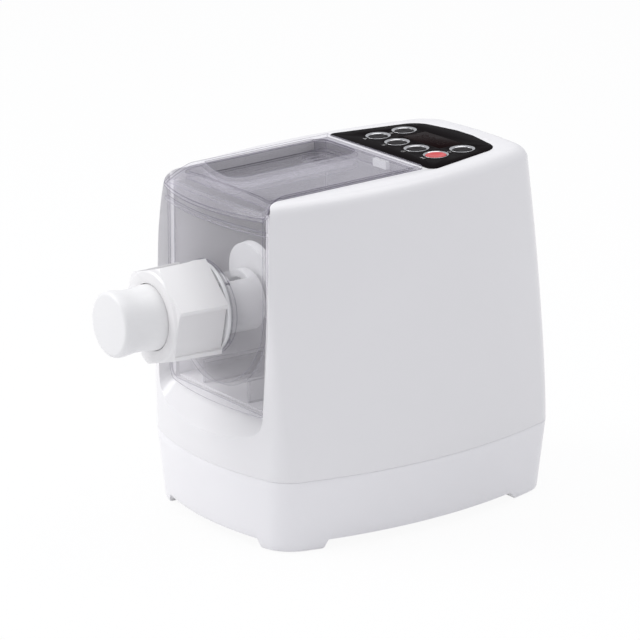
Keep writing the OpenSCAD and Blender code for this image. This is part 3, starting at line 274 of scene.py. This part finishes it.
def clear_plastic(name, colour, edge_on_shade, rough, flat, steep):
    """Clear moulded plastic: most light goes straight through, and less does where the surface turns away.
    There the colour also darkens, as painted shade.
    """
    material, tree, shader = new_material(name)
    gloss = noise(tree, WALL_GLOSS)
    colours = tint(tree, noise(tree, WALL_TINT), shade(colour, 0.985), colour)
    tree.links.new(spread(tree, gloss, rough * 0.8, rough * 1.2), shader.inputs["Roughness"])
    facing = tree.nodes.new("ShaderNodeLayerWeight")
    facing.inputs["Blend"].default_value = FACING_BLEND
    # The tint darkens where the face turns away from the camera: painted shade for a clear wall seen edge-on.
    deepen = tree.nodes.new("ShaderNodeMix")
    deepen.data_type = "RGBA"
    deepen.inputs["B"].default_value = (*edge_on_shade, 1)
    tree.links.new(colours, deepen.inputs["A"])
    tree.links.new(facing.outputs["Facing"], deepen.inputs["Factor"])
    tree.links.new(deepen.outputs["Result"], shader.inputs["Base Color"])
    cover = tree.nodes.new("ShaderNodeMapRange")
    cover.inputs["From Min"].default_value = FACING_START
    cover.inputs["To Min"].default_value = flat
    cover.inputs["To Max"].default_value = steep
    tree.links.new(facing.outputs["Facing"], cover.inputs["Value"])
    tree.links.new(cover.outputs["Result"], shader.inputs["Alpha"])
    bump(tree, shader, noise(tree, WALL_WAVES, 2), 0.00015, 0.12)
    return material


CLEARS = {
    "clear_plastic": dict(colour=(0.97, 0.95, 0.99), edge_on_shade=(0.90, 0.87, 0.94),
                          rough=0.06, flat=0.12, steep=0.30),
    # The edge finishes paint the dark lines that bent light draws along the edges of the mouldings.
    "clear_edge": dict(colour=(0.40, 0.38, 0.46), edge_on_shade=(0.30, 0.28, 0.35),
                       rough=0.1, flat=0.42, steep=0.7),
    "clear_lid": dict(colour=(0.92, 0.89, 0.97), edge_on_shade=(0.78, 0.75, 0.84),
                      rough=0.06, flat=0.11, steep=0.34),
    "clear_lid_edge": dict(colour=(0.20, 0.18, 0.25), edge_on_shade=(0.14, 0.125, 0.18),
                           rough=0.1, flat=0.5, steep=0.8),
}
FINISH.update({name: clear_plastic(name, **look) for name, look in CLEARS.items()})
print("finishes:", len(FINISH))

# %% [markdown]
# ## Finish on every solid
# The record says which slot each solid takes. Solids that keep their own mesh get the finish of their slot
# here. The outer pieces are made finer further down and then stand for their solids.

# %% Finish the solids
SLOT = {part["node"]: part["material_slot"] for part in frame["record"]["subparts"]}
BODY = {node: body for body, nodes in frame["record"]["behaviour"]["bodies"].items() for node in nodes}
for node, solid in frame["nodes"].items():
    solid.data.materials.clear()
    solid.data.materials.append(FINISH[SLOT[node]])
print("solids finished:", len(SLOT))

# %% [markdown]
# ## Mesh helpers
# A lofted skin is a stack of loops with the same count of points. `cut` takes closed meshes away from
# another, and `soften` rounds what is left sharp, because a moulded edge always has a small radius. `dress`
# then says which body the piece rides on, which slot it takes and which solid it stands for.

# %% Mesh helpers
SAME_POINT = 1e-7


def mesh_object(name, points, faces):
    mesh = bpy.data.meshes.new(name)
    mesh.from_pydata([tuple(p) for p in points], [], faces)
    mesh.validate()
    shape = bpy.data.objects.new(name, mesh)
    bpy.context.scene.collection.objects.link(shape)
    clean = bmesh.new()
    clean.from_mesh(mesh)
    bmesh.ops.remove_doubles(clean, verts=clean.verts, dist=SAME_POINT)
    bmesh.ops.recalc_face_normals(clean, faces=clean.faces)
    clean.to_mesh(mesh)
    clean.free()
    return shape


def loft(name, loops):
    """Joins loops of points with four-sided faces and closes both ends."""
    count = len(loops[0])
    points = [p for loop in loops for p in loop]
    faces = []
    for i in range(len(loops) - 1):
        for j in range(count):
            k = (j + 1) % count
            faces.append((i * count + j, i * count + k, (i + 1) * count + k, (i + 1) * count + j))
    faces.append(tuple(range(count)))
    faces.append(tuple(range((len(loops) - 1) * count, len(loops) * count)))
    return mesh_object(name, points, faces)


def apply_modifiers(shape):
    graph = bpy.context.evaluated_depsgraph_get()
    mesh = bpy.data.meshes.new_from_object(shape.evaluated_get(graph))
    shape.modifiers.clear()
    shape.data = mesh


def cut(shape, *cutters):
    for cutter in cutters:
        change = shape.modifiers.new("cut", "BOOLEAN")
        change.object = cutter
        change.operation = "DIFFERENCE"
        change.solver = "EXACT"
        apply_modifiers(shape)
        bpy.data.objects.remove(cutter)
    return shape


def soften(shape, width, segments, angle):
    """Rounds every edge sharper than the angle, then shades the faces smooth."""
    if width:
        edge = shape.modifiers.new("round", "BEVEL")
        edge.width = width * MM
        edge.segments = segments
        edge.limit_method = "ANGLE"
        edge.angle_limit = math.radians(angle)
        apply_modifiers(shape)
    shape.data.shade_smooth()
    shape.data.set_sharp_from_angle(angle=math.radians(angle))


def dress(shape, node):
    """Gives the piece its finish and body, and lets it stand for its solid."""
    shape.name = node + "_skin"
    if not shape.data.materials:
        shape.data.materials.append(None)
    shape.data.materials[0] = FINISH[SLOT[node]]
    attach(shape, BODY[node])
    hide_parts(node)


def block(x0, x1, y0, y1, z0, z1):
    """A box given in the front line's millimetres."""
    corners = [(x0, y0), (x1, y0), (x1, y1), (x0, y1)]
    return loft("block", [[spot(x, y, z) for x, y in corners] for z in (z0, z1)])


print("mesh helpers ready")

# %% [markdown]
# ## Body outline
# From above, the body is four shallow arcs that meet in round corners. It could be traced point by point,
# but arcs stay smooth and follow a change of size. Each corner arc touches both of its neighbours, so its
# centre lies where the two arcs, drawn smaller by the corner's radius, cross.

# %% Outline of the body
HALF_W, SIDE_R, SIDE_Y = 105.6, 400.0, 115.0
FRONT_R, FRONT_BULGE = 245.0, 17.5
BACK_R, BACK_CORNER = 400.0, 24.0
SEAM_Z = 58.0
CORNER_LOW, CORNER_TOP, CORNER_RISE = 28.0, 13.0, 50
FRONT_POINTS, CORNER_POINTS, SIDE_POINTS, BACK_POINTS = 22, 14, 50, 20


def crossing(centre, radius, other_centre, other_radius, forward):
    """Where two circles cross on the right-hand side, towards the front or the back."""
    between = np.subtract(other_centre, centre)
    length = np.hypot(*between)
    along = (radius ** 2 - other_radius ** 2 + length ** 2) / (2 * length)
    aside = math.sqrt(radius ** 2 - along ** 2)
    middle = np.add(centre, along * between / length)
    across = np.array((-between[1], between[0]))
    both = [middle + aside * across / length * side for side in (1, -1)]
    good = [p for p in both if p[0] > 0]
    return min(good, key=lambda p: p[1]) if forward else max(good, key=lambda p: p[1])


def arc(centre, radius, start, end, count):
    return [(centre[0] + radius * math.cos(a), centre[1] + radius * math.sin(a))
            for a in np.linspace(start, end, count)]


def circle(centre, radius, count):
    return arc(centre, radius, 0, FULL_TURN, count + 1)[:-1]


def mirrored(half):
    """Adds the left half to points that run from front to back on the right."""
    return half + [(-x, y) for x, y in reversed(half)]


def direction(centre, p):
    return math.atan2(p[1] - centre[1], p[0] - centre[0])


def outline(side_in, front_in, back_in, front_corner, back_corner):
    """Half of the outline from front to back, then its mirror image: (x, depth) pairs."""
    side_c = (HALF_W - side_in - SIDE_R, SIDE_Y)
    front_c = (0.0, FRONT_R - FRONT_BULGE + front_in)
    back_c = (0.0, BACK_Y - back_in - BACK_R)
    front_p = crossing(side_c, SIDE_R - front_corner, front_c, FRONT_R - front_corner, True)
    back_p = crossing(side_c, SIDE_R - back_corner, back_c, BACK_R - back_corner, False)
    front_end, side_start = direction(front_c, front_p), direction(side_c, front_p)
    side_end, back_start = direction(side_c, back_p), direction(back_c, back_p)
    half = arc(front_c, FRONT_R, -QUARTER, front_end, FRONT_POINTS)
    half += arc(front_p, front_corner, front_end, side_start, CORNER_POINTS)[1:]
    half += arc(side_c, SIDE_R, side_start, side_end, SIDE_POINTS)[1:]
    half += arc(back_p, back_corner, side_end, back_start, CORNER_POINTS)[1:]
    half += arc(back_c, BACK_R, back_start, QUARTER, BACK_POINTS)[1:]
    return half + [(-x, y) for x, y in half[-2:0:-1]]


def front_corner_at(z):
    """The front corners are roundest below the seam and tighten quickly above it."""
    if z <= SEAM_Z:
        return CORNER_LOW
    return max(CORNER_TOP, CORNER_LOW - (CORNER_LOW - CORNER_TOP) * (z - SEAM_Z) / CORNER_RISE)


print("outline points:", len(outline(0, 0, 0, CORNER_LOW, BACK_CORNER)))

# %% [markdown]
# ## Upper housing
# The sides lean in more and more towards the top. Each loop of the loft is a plane between the level seam
# and the tilted top, and the last loops turn over the top edge in a quarter circle. A second, smaller loft
# is taken away from the first, which leaves walls of an even thickness.

# %% Loops of the housing
SIDE_LEAN, BACK_LEAN, LEAN_POWER = 18.6, 12.5, 1.43
TOP_EDGE, FRONT_EDGE = 11.0, 16.0
HOUSING_RISE = 200
WALL_LOOPS, EDGE_LOOPS = 26, 9


def housing_loops(inset, low):
    """Loops from a height up to the deck, drawn in on every side by the inset."""
    loops = []
    for s in np.linspace(0, 1, WALL_LOOPS):
        side = SIDE_LEAN * s ** LEAN_POWER + inset
        rear = BACK_LEAN * s ** LEAN_POWER + inset
        corner = front_corner_at(SEAM_Z + s * HOUSING_RISE)
        flat = outline(side, inset, rear, corner - inset / 2, BACK_CORNER - inset / 2)
        loops.append([spot(x, y, low + s * (DECK_Z + y * math.tan(DECK_TILT) - TOP_EDGE - inset - low))
                      for x, y in flat])
    for a in np.linspace(0, QUARTER, EDGE_LOOPS)[1:]:
        roll, front_roll = TOP_EDGE * (1 - math.cos(a)), FRONT_EDGE * (1 - math.cos(a))
        flat = outline(SIDE_LEAN + inset + roll, inset + front_roll, BACK_LEAN + inset + roll,
                       CORNER_TOP, BACK_CORNER)
        loops.append([deck(x, y, -inset - TOP_EDGE * (1 - math.sin(a))) for x, y in flat])
    return loops


print("housing loops:", len(housing_loops(0.0, SEAM_Z)))

# %% [markdown]
# ## Window recess and bay
# The front is hollowed round the window where the container stands: wide at the front pillars, narrow at the
# window. Behind it lies the bay, open at the top for the lid. There the opening widens in a curve to the
# window, for the lid's two wings. The deck's edge round the bay is turned down, so the sheet looks thick and
# stiff. The hollow loft loses the turned-down edge and the corners under the wings before it is taken away
# from the housing, so they stay solid. Just inside the window a thin slice is cleared away, so that the wall
# of the recess ends as a clean frame round the window.

# %% Cutters of the housing
WALL = 3.0
WINDOW_W, WINDOW_Z, WINDOW_CORNER, SILL_DROP = 68, 101.8, 10, 0.5
RECESS_W, RECESS_TOP_W, RECESS_DROP, RECESS_CORNER = 76, 92, 25, 20
RECESS_FRONT, RECESS_TOP, RECESS_POINTS = -22, 288.0, 12
SEAT = 2.8
BAY_W, BAY_BACK = 62.5, 146
MOUTH_BACK, MOUTH_LOW, MOUTH_POINTS = 26, -9, 12


def recess_loop(low_half_w, top_half_w, low, corner, y):
    """An opening with round lower corners, whose sides run up to the width at the top."""
    centre_x, centre_z = low_half_w - corner, low + corner
    reach_x, reach_z = top_half_w - centre_x, RECESS_TOP - centre_z
    start = math.atan2(reach_z, reach_x) - math.acos(corner / math.hypot(reach_x, reach_z))
    half = [(top_half_w, RECESS_TOP)]
    half += arc((centre_x, centre_z), corner, start, -QUARTER, RECESS_POINTS)
    return [spot(x, y, z) for x, z in mirrored(half)]


def recess(grow):
    front = recess_loop(RECESS_W + grow, RECESS_TOP_W + grow, WINDOW_Z - RECESS_DROP - grow,
                        RECESS_CORNER, RECESS_FRONT - grow)
    window = recess_loop(WINDOW_W + grow, WINDOW_W + grow, WINDOW_Z - SILL_DROP - grow,
                         WINDOW_CORNER, SEAT + grow)
    return loft("recess", [front, window])


def deck_prism(pairs, low, high):
    return loft("prism", [[deck(x, y, h) for x, y in pairs] for h in (low, high)])


def deck_box(x0, x1, y0, y1, low, high):
    return deck_prism([(x0, y0), (x1, y0), (x1, y1), (x0, y1)], low, high)


def bay_mouth():
    """The opening in the top widens in a curve to the window."""
    start = BAY_W - 1
    curve = [(start + (WINDOW_W - start) * (1 - math.cos(a)), MOUTH_BACK - (MOUTH_BACK - SEAT) * math.sin(a))
             for a in np.linspace(0, QUARTER, MOUTH_POINTS)]
    return mirrored(curve + [(WINDOW_W, SEAT - WALL)])


print("mouth points:", len(bay_mouth()))

# %% Upper housing skin
RIM_W, RIM_LOW, RIM_TOP = 2.5, -10.7, 1
WING_CORNER = 18
CORE_LOW, FRAME_ROOM, FRAME_ROOM_TOP = 50.0, 1, 256
OVER_BODY, OVER_DECK = 320, 60
core = cut(loft("core", housing_loops(WALL, CORE_LOW)), recess(WALL))
for side in (-1, 1):
    inner = side * (BAY_W - 2)
    cut(core, deck_box(inner, side * (BAY_W + WING_CORNER), 0, MOUTH_BACK + WALL, RIM_LOW, RIM_TOP),
        deck_box(inner, side * (BAY_W + RIM_W), MOUTH_BACK, BAY_BACK, RIM_LOW, RIM_TOP))
cut(core, deck_box(-BAY_W - RIM_W, BAY_W + RIM_W, BAY_BACK, BAY_BACK + RIM_W, RIM_LOW, RIM_TOP))
housing = loft("housing", housing_loops(0.0, SEAM_Z))
cut(housing, core, recess(0.0),
    block(-BAY_W, BAY_W, RECESS_FRONT, BAY_BACK, WINDOW_Z + 1, OVER_BODY),
    block(-WINDOW_W - WALL, WINDOW_W + WALL, SEAT + WALL, SEAT + WALL + FRAME_ROOM, WINDOW_Z, FRAME_ROOM_TOP),
    deck_prism(bay_mouth(), MOUTH_LOW, OVER_DECK))
print("housing faces:", len(housing.data.polygons))

# %% [markdown]
# ## Seat of the key panel
# The black panel lies in a shallow seat with its own outline, a fine gap wider than the panel. Below it the
# deck has a round hole for every key and a rectangular one for the display, so that both can reach through.
# These are cut before the housing's edges are rounded, so their rims get the small radius too.

# %% Seat of the key panel
PANEL_FRONT, PANEL_DEPTH, PANEL_GAP, PANEL_SEAT = 149.3, 83.5, 0.15, -0.9
PANEL_FRONT_W, PANEL_BACK_W = 68, 55
FRONT_ROUND, BACK_ROUND, BACK_BOW, BACK_FLAT = 6, 20, 5, 8
SIDE_TURN, BACK_TURN = 0.15, 1.43
ROUND_POINTS, BOW_POINTS, HOLE_POINTS = 12, 5, 48
KEY_STEP, KEY_ROW, KEY_BACK_ROW, KEY_HOLE = 25.0, 176.4, 201.6, 8.5
DISPLAY_W, DISPLAY_FRONT, DISPLAY_BACK = 22, 191.8, 210.3
HOLE_LOW, HOLE_TOP, SEAT_TOP = -10, 5, 10
KEYS = {"knead": (-1.5 * KEY_STEP, KEY_ROW), "extrude": (-0.5 * KEY_STEP, KEY_ROW),
        "timer": (0.5 * KEY_STEP, KEY_ROW), "start": (1.5 * KEY_STEP, KEY_ROW),
        "mode": (-1.5 * KEY_STEP, KEY_BACK_ROW), "power": (1.5 * KEY_STEP, KEY_BACK_ROW)}


def panel_outline(grow):
    """Straight front, sides that draw in, bowed back: (x, along) pairs."""
    front_x, back_x = PANEL_FRONT_W + grow, PANEL_BACK_W + grow
    y0, y1 = PANEL_FRONT - grow, PANEL_FRONT + PANEL_DEPTH + grow
    front_centre = (front_x - FRONT_ROUND, y0 + FRONT_ROUND)
    back_centre = (back_x - BACK_ROUND, y1 - BACK_BOW - BACK_ROUND)
    half = arc(front_centre, FRONT_ROUND, -QUARTER, SIDE_TURN, ROUND_POINTS)
    half += arc(back_centre, BACK_ROUND, SIDE_TURN, BACK_TURN, ROUND_POINTS)
    half += arc((BACK_FLAT, y1 - BACK_ROUND), BACK_ROUND, BACK_TURN, QUARTER, BOW_POINTS)
    return mirrored(half)


cut(housing, deck_prism(panel_outline(PANEL_GAP), PANEL_SEAT, SEAT_TOP))
for x, y in KEYS.values():
    cut(housing, deck_prism(circle((x, y), KEY_HOLE, HOLE_POINTS), HOLE_LOW, HOLE_TOP))
cut(housing, deck_box(-DISPLAY_W, DISPLAY_W, DISPLAY_FRONT, DISPLAY_BACK, HOLE_LOW, HOLE_TOP))
soften(housing, width=1.4, segments=3, angle=40)
dress(housing, "upper_housing")
print("housing faces:", len(housing.data.polygons))

# %% [markdown]
# ## Base tray
# The base draws in a little towards the floor and stands on four corner feet. Between the feet the skirt
# is lifted. Single feet could be added below a shorter tray, but then each would need a smooth join, so the
# gaps between them are cut right across instead, from side to side and from front to back. Rows of slots in
# the floor let air in.

# %% Base skin
BASE_TAPER, BASE_LOW, HOLLOW_LOW, HOLLOW_TOP = 5.6, 0.8, 11.0, 62.0
FOOT_EDGE = ((0, 2.0), (0.3, 1.1), (0.9, 0.4), (2, 0.0))
WALL_START, SEAM_EDGE, SEAM_DRAW, BASE_LOOPS = 6, 1.2, 0.8, 8
NOTCH_TOP, BELOW, ACROSS = 8, -1, 150
SIDE_NOTCH = (32.5, 37.5, 214, 223)
FRONT_NOTCH, FRONT_REACH = (-65, -60, 60, 65), (-60, 80)
BACK_NOTCH, BACK_REACH = (-55, -50, 50, 55), (200, 320)
AIR_STEP, AIR_HALF, AIR_TOP, AIR_ROWS = 10, 2, 13, ((12, 48), (156, 192))


def base_loops(inset, low, high):
    """Loops of the tray. The outer skin, whose inset is 0, also has rounded rims at both ends."""
    rows = [(low + up, draw) for up, draw in FOOT_EDGE]
    rows += [(z, 0.0) for z in np.linspace(low + WALL_START, high - SEAM_EDGE, BASE_LOOPS)]
    rows += [(high, SEAM_DRAW)]
    loops = []
    for z, extra in rows:
        draw_in = BASE_TAPER * (SEAM_Z - z) / SEAM_Z + inset + (extra if inset == 0 else 0)
        flat = outline(draw_in, draw_in, draw_in, CORNER_LOW - inset / 2, BACK_CORNER - inset / 2)
        loops.append([spot(x, y, z) for x, y in flat])
    return loops


def notch(low_start, start, end, low_end):
    """The gap between two feet: wider at the floor than at its top."""
    return [(low_start, BELOW), (start, NOTCH_TOP), (end, NOTCH_TOP), (low_end, BELOW)]


def prism_x(pairs, half_w):
    return loft("prism", [[spot(x, y, z) for y, z in pairs] for x in (-half_w, half_w)])


def prism_y(pairs, y0, y1):
    return loft("prism", [[spot(x, y, z) for x, z in pairs] for y in (y0, y1)])


base = loft("base", base_loops(0, BASE_LOW, SEAM_Z))
cut(base, loft("hollow", base_loops(WALL, HOLLOW_LOW, HOLLOW_TOP)))
cut(base, prism_x(notch(*SIDE_NOTCH), ACROSS),
    prism_y(notch(*FRONT_NOTCH), *FRONT_REACH),
    prism_y(notch(*BACK_NOTCH), *BACK_REACH))
for x in range(-4 * AIR_STEP, 5 * AIR_STEP, AIR_STEP):
    for y0, y1 in AIR_ROWS:
        cut(base, block(x - AIR_HALF, x + AIR_HALF, y0, y1, BELOW, AIR_TOP))
soften(base, width=0.8, segments=2, angle=35)
dress(base, "base_tray")
print("base faces:", len(base.data.polygons))

# %% [markdown]
# ## Lines along the edges of the clear pieces
# A clear moulding bends the light at its edges, and they show as thin dark lines. The see-through finish
# bends nothing, so a narrow strip of the darker finish is laid along each edge instead. The faces are first
# gathered into smooth regions, and each region that is wide enough is inset by the width of the line. Its
# corners aren't evened out, because that makes long spikes at narrow ends.

# %% Edge lines
CLEAR_EDGE = {"container": "clear_edge", "lid": "clear_lid_edge"}
EDGE_LINE, WIDE_ENOUGH = 0.55, 2.5


def smooth_regions(mesh, angle):
    """Groups of faces that meet without a sharp edge between them."""
    left = set(mesh.faces)
    regions = []
    while left:
        region, front = [], [left.pop()]
        while front:
            face = front.pop()
            region.append(face)
            for edge in face.edges:
                if len(edge.link_faces) == 2 and edge.calc_face_angle(math.pi) < angle:
                    other = edge.link_faces[0] if edge.link_faces[1] is face else edge.link_faces[1]
                    if other in left:
                        left.remove(other)
                        front.append(other)
        regions.append(region)
    return regions


def line_edges(data, width, angle):
    """Lays a narrow strip with the second finish along the sharp edges."""
    mesh = bmesh.new()
    mesh.from_mesh(data)
    for region in smooth_regions(mesh, angle):
        area = sum(face.calc_area() for face in region)
        rim = sum(edge.calc_length() for face in region for edge in face.edges
                  if len(edge.link_faces) < 2 or edge.calc_face_angle(math.pi) >= angle)
        if rim and 2 * area / rim > WIDE_ENOUGH * width:
            strips = bmesh.ops.inset_region(mesh, faces=region, thickness=width, use_even_offset=False,
                                            use_boundary=True)
            for face in strips["faces"]:
                face.material_index = 1
    mesh.to_mesh(data)
    mesh.free()


print("edge line:", EDGE_LINE, "mm")

# %% [markdown]
# ## Pieces with rounded edges
# The nut, the spout, the keys and the other moulded pieces already have their shapes in the solids. They
# could be modelled again, but that would only repeat them. A copy with its flat faces joined and its edges
# rounded catches the light as the real moulding does. The widths are in millimetres. For the clear pieces
# they are 0, because those get the lines along their edges instead.

# %% Rounded copies
ROUND_ANGLE, ROUND_STEPS = 35, 2
JOIN_POINTS, JOIN_FACES = 2e-6, math.radians(1.0)
ROUNDED = {
    "ring_nut": 0.6, "spout": 0.4, "container": 0, "lid": 0, "barrel": 0.4, "mixing_paddle": 1.2,
    "paddle_shaft": 0.3, "button_rings": 0.12, "knead_button": 0.3, "extrude_button": 0.3,
    "timer_button": 0.3, "start_button": 0.3, "mode_button": 0.3, "power_button": 0.3,
    "control_overlay": 0.25, "display_window": 0.2, "foot_pads": 0.5, "cord_gland": 0.6,
    "bay_liner": 0.6, "die_disc": 0.2,
}


def rounded_copy(node, width):
    shape = bpy.data.objects.new(node, frame["nodes"][node].data.copy())
    bpy.context.scene.collection.objects.link(shape)
    clean = bmesh.new()
    clean.from_mesh(shape.data)
    bmesh.ops.remove_doubles(clean, verts=clean.verts, dist=JOIN_POINTS)
    bmesh.ops.dissolve_limit(clean, angle_limit=JOIN_FACES, verts=clean.verts, edges=clean.edges)
    clean.to_mesh(shape.data)
    clean.free()
    if node in CLEAR_EDGE:
        shape.data.materials.append(FINISH[CLEAR_EDGE[node]])
        line_edges(shape.data, EDGE_LINE * MM, math.radians(ROUND_ANGLE))
    soften(shape, width, ROUND_STEPS, ROUND_ANGLE)
    dress(shape, node)
    return shape


for node, width in ROUNDED.items():
    print(node, "faces", len(rounded_copy(node, width).data.polygons))

# %% [markdown]
# ## Marks on the key panel
# Small printed signs tell the keys apart: a paddle, strands, a clock, a start arrow, a list and a power
# sign. They could be painted with a texture, but a few flat shapes just above the panel stay sharp from any
# distance. Each sign is drawn in millimetres round its own middle.

# %% Flat shapes
PRINT_LOW, PRINT_HIGH = 0.28, 0.34
PRINT_POINTS, OVERLAP = 20, 1.08


def dot(x, y, radius):
    return circle((x, y), radius, PRINT_POINTS)


def bar(x, y, length, width, angle=0.0):
    c, s = math.cos(angle), math.sin(angle)
    end, side = length / 2, width / 2
    corners = [(-end, -side), (end, -side), (end, side), (-end, side)]
    return [(x + a * c - b * s, y + a * s + b * c) for a, b in corners]


def ring(x, y, radius, width, start=0.0, end=FULL_TURN):
    """A ring made of short bars that overlap a little. It may be left open."""
    step = (end - start) / PRINT_POINTS
    length = radius * step * OVERLAP
    turns = [start + step * (i + 0.5) for i in range(PRINT_POINTS)]
    return [bar(x + radius * math.cos(a), y + radius * math.sin(a), length, width, a + QUARTER)
            for a in turns]


def wave(x, y, length, width):
    """A strand that sways a little from side to side."""
    middle = [(x + 0.28 * math.sin(t * 2.2 * math.pi), y + (t - 0.5) * length) for t in np.linspace(0, 1, 13)]
    return [(a - width / 2, b) for a, b in middle] + [(a + width / 2, b) for a, b in reversed(middle)]


def flat_print(name, shapes, finish):
    """One mesh of thin prisms on the panel's face."""
    points, faces = [], []
    for shape in shapes:
        first, n = len(points), len(shape)
        points += [deck(x, y, PRINT_LOW) for x, y in shape] + [deck(x, y, PRINT_HIGH) for x, y in shape]
        faces.append(tuple(range(first, first + n)))
        faces.append(tuple(range(first + n, first + 2 * n)))
        faces += [(first + i, first + (i + 1) % n, first + n + (i + 1) % n, first + n + i) for i in range(n)]
    sign = mesh_object(name, points, faces)
    sign.data.materials.append(finish)
    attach(sign, "body")


print("points round a dot:", len(dot(0, 0, 1)))

# %% Printed signs
SIGN_DROP = 12.6
THIN = 0.34


def paddle_sign(x, y):
    lobes = [(x + 1.15 * math.cos(a), y + 1.15 * math.sin(a)) for a in (1.57, 3.66, 5.76)]
    return [dot(x, y, 0.45)] + [dot(a, b, 0.62) for a, b in lobes]


def strands_sign(x, y):
    return [wave(x + dx, y, 3.4, THIN) for dx in (-1.2, 0, 1.2)]


def clock_sign(x, y):
    hands = [bar(x, y + 0.5, 1.1, 0.3, QUARTER), bar(x + 0.35, y, 0.8, 0.3)]
    return ring(x, y, 1.6, THIN) + hands


def start_sign(x, y):
    arrow = [(x - 1.9, y - 1.4), (x + 0.3, y), (x - 1.9, y + 1.4)]
    return [arrow] + [bar(x + dx, y, 2.8, 0.45, QUARTER) for dx in (1.1, 2.0)]


def list_sign(x, y):
    return [bar(x, y + dy, 3.2, 0.36) for dy in (-1.1, 0, 1.1)]


def power_sign(x, y):
    open_ring = ring(x, y, 1.5, THIN, math.radians(125), math.radians(415))
    return open_ring + [bar(x, y + 1.1, 1.5, THIN, QUARTER)]


SIGNS = {"knead": paddle_sign, "extrude": strands_sign, "timer": clock_sign,
         "start": start_sign, "mode": list_sign, "power": power_sign}
marks = [shape for key, (x, y) in KEYS.items() for shape in SIGNS[key](x, y - SIGN_DROP)]
flat_print("key_signs", marks, FINISH["printed_white"])
print("printed shapes:", len(marks))

# %% [markdown]
# ## Ghost digits of the display
# The display is off, but the segments of its four digits and the colon between them can still be made out.
# They are the same flat shapes, in a dark finish only a little brighter than the window.

# %% Ghost digits
DISPLAY_Y = 201.3
DIGITS_X = (-13.5, -5.0, 5.0, 13.5)
SEGMENT_W = 0.9


def digit(x, y):
    """Seven segments, 10 mm high."""
    level = [bar(x, y + dy, 4.0, SEGMENT_W) for dy in (-4.6, 0, 4.6)]
    upright = [bar(x + dx, y + dy, 3.5, SEGMENT_W, QUARTER) for dx in (-2.5, 2.5) for dy in (-2.3, 2.3)]
    return level + upright


digits = [shape for x in DIGITS_X for shape in digit(x, DISPLAY_Y)]
digits += [dot(0, DISPLAY_Y + dy, 0.6) for dy in (-2.2, 2.2)]
flat_print("display_digits", digits, FINISH["display_ghost"])
print("segments:", len(digits))

# %% [markdown]
# ## Floor
# The photograph has a white ground. A wide flat floor in a pale matt finish takes a soft shadow. Lit alone,
# it would turn out grey, so rays from the camera, and those that come by way of a gloss or a clear wall, see
# it almost white. All other rays meet the matt finish, so the floor adds no false light to the machine.

# %% Floor
FLOOR_HALF, FLOOR_SEEN = 6, 0.93


def highest(tree, *values):
    """The largest of several sockets."""
    result = values[0]
    for value in values[1:]:
        node = tree.nodes.new("ShaderNodeMath")
        node.operation = "MAXIMUM"
        tree.links.new(result, node.inputs[0])
        tree.links.new(value, node.inputs[1])
        result = node.outputs[0]
    return result


def white_to_camera(name, colour, seen):
    """A matt surface that shows almost white where the camera or a reflection looks at it."""
    material, tree, shader = new_material(name)
    shader.inputs["Base Color"].default_value = (*colour, 1)
    shader.inputs["Roughness"].default_value = 0.9
    glow = tree.nodes.new("ShaderNodeEmission")
    glow.inputs["Strength"].default_value = 1.0
    path = tree.nodes.new("ShaderNodeLightPath")
    part = tree.nodes.new("ShaderNodeMath")
    part.operation = "MULTIPLY"
    part.inputs[1].default_value = seen
    mix = tree.nodes.new("ShaderNodeMixShader")
    view = highest(tree, path.outputs["Is Camera Ray"], path.outputs["Is Glossy Ray"],
                   path.outputs["Is Transmission Ray"])
    tree.links.new(view, part.inputs[0])
    tree.links.new(part.outputs[0], mix.inputs[0])
    tree.links.new(shader.outputs[0], mix.inputs[1])
    tree.links.new(glow.outputs[0], mix.inputs[2])
    out = next(n for n in tree.nodes if n.type == "OUTPUT_MATERIAL")
    tree.links.new(mix.outputs[0], out.inputs["Surface"])
    return material


corners = [(x * FLOOR_HALF, y * FLOOR_HALF, 0) for x, y in ((-1, -1), (1, -1), (1, 1), (-1, 1))]
floor = mesh_object("floor", corners, [(0, 1, 2, 3)])
floor.data.materials.append(white_to_camera("pale_floor", (0.86, 0.86, 0.87), FLOOR_SEEN))
print("floor ready")

# %% [markdown]
# ## World and lamps
# The light in the photograph is soft and comes from all round, a little stronger from the upper left. So the
# world gives most of it, as a plain pale fill, and shows white to the camera. A big soft lamp at the upper
# left brightens the front and the top, and a second one from above lights the bay.

# %% World
FILL = 0.70
world = bpy.data.worlds.new("studio")
world.use_nodes = True
bpy.context.scene.world = world
tree = world.node_tree
tree.nodes.clear()
fill = tree.nodes.new("ShaderNodeBackground")
fill.inputs["Color"].default_value = (0.95, 0.96, 1.0, 1)
fill.inputs["Strength"].default_value = FILL
white = tree.nodes.new("ShaderNodeBackground")
white.inputs["Color"].default_value = (1, 1, 1, 1)
path = tree.nodes.new("ShaderNodeLightPath")
mix = tree.nodes.new("ShaderNodeMixShader")
out = tree.nodes.new("ShaderNodeOutputWorld")
tree.links.new(highest(tree, path.outputs["Is Camera Ray"], path.outputs["Is Transmission Ray"]),
               mix.inputs[0])
tree.links.new(fill.outputs[0], mix.inputs[1])
tree.links.new(white.outputs[0], mix.inputs[2])
tree.links.new(mix.outputs[0], out.inputs["Surface"])
print("world fill:", FILL)


# %% Lamps
def softbox(name, place, target, size, power):
    data = bpy.data.lights.new(name, "AREA")
    data.size = size
    data.energy = power
    lamp = bpy.data.objects.new(name, data)
    lamp.location = place
    lamp.rotation_euler = (Vector(target) - Vector(place)).to_track_quat("-Z", "Y").to_euler()
    bpy.context.scene.collection.objects.link(lamp)


softbox("key", place=(-1.3, -1.7, 1.9), target=(0, 0, 0.15), size=1.6, power=36)
softbox("top", place=(0.2, 0.4, 2.2), target=(0, 0, 0.2), size=1.8, power=14)
bpy.context.scene.view_settings.view_transform = "Standard"
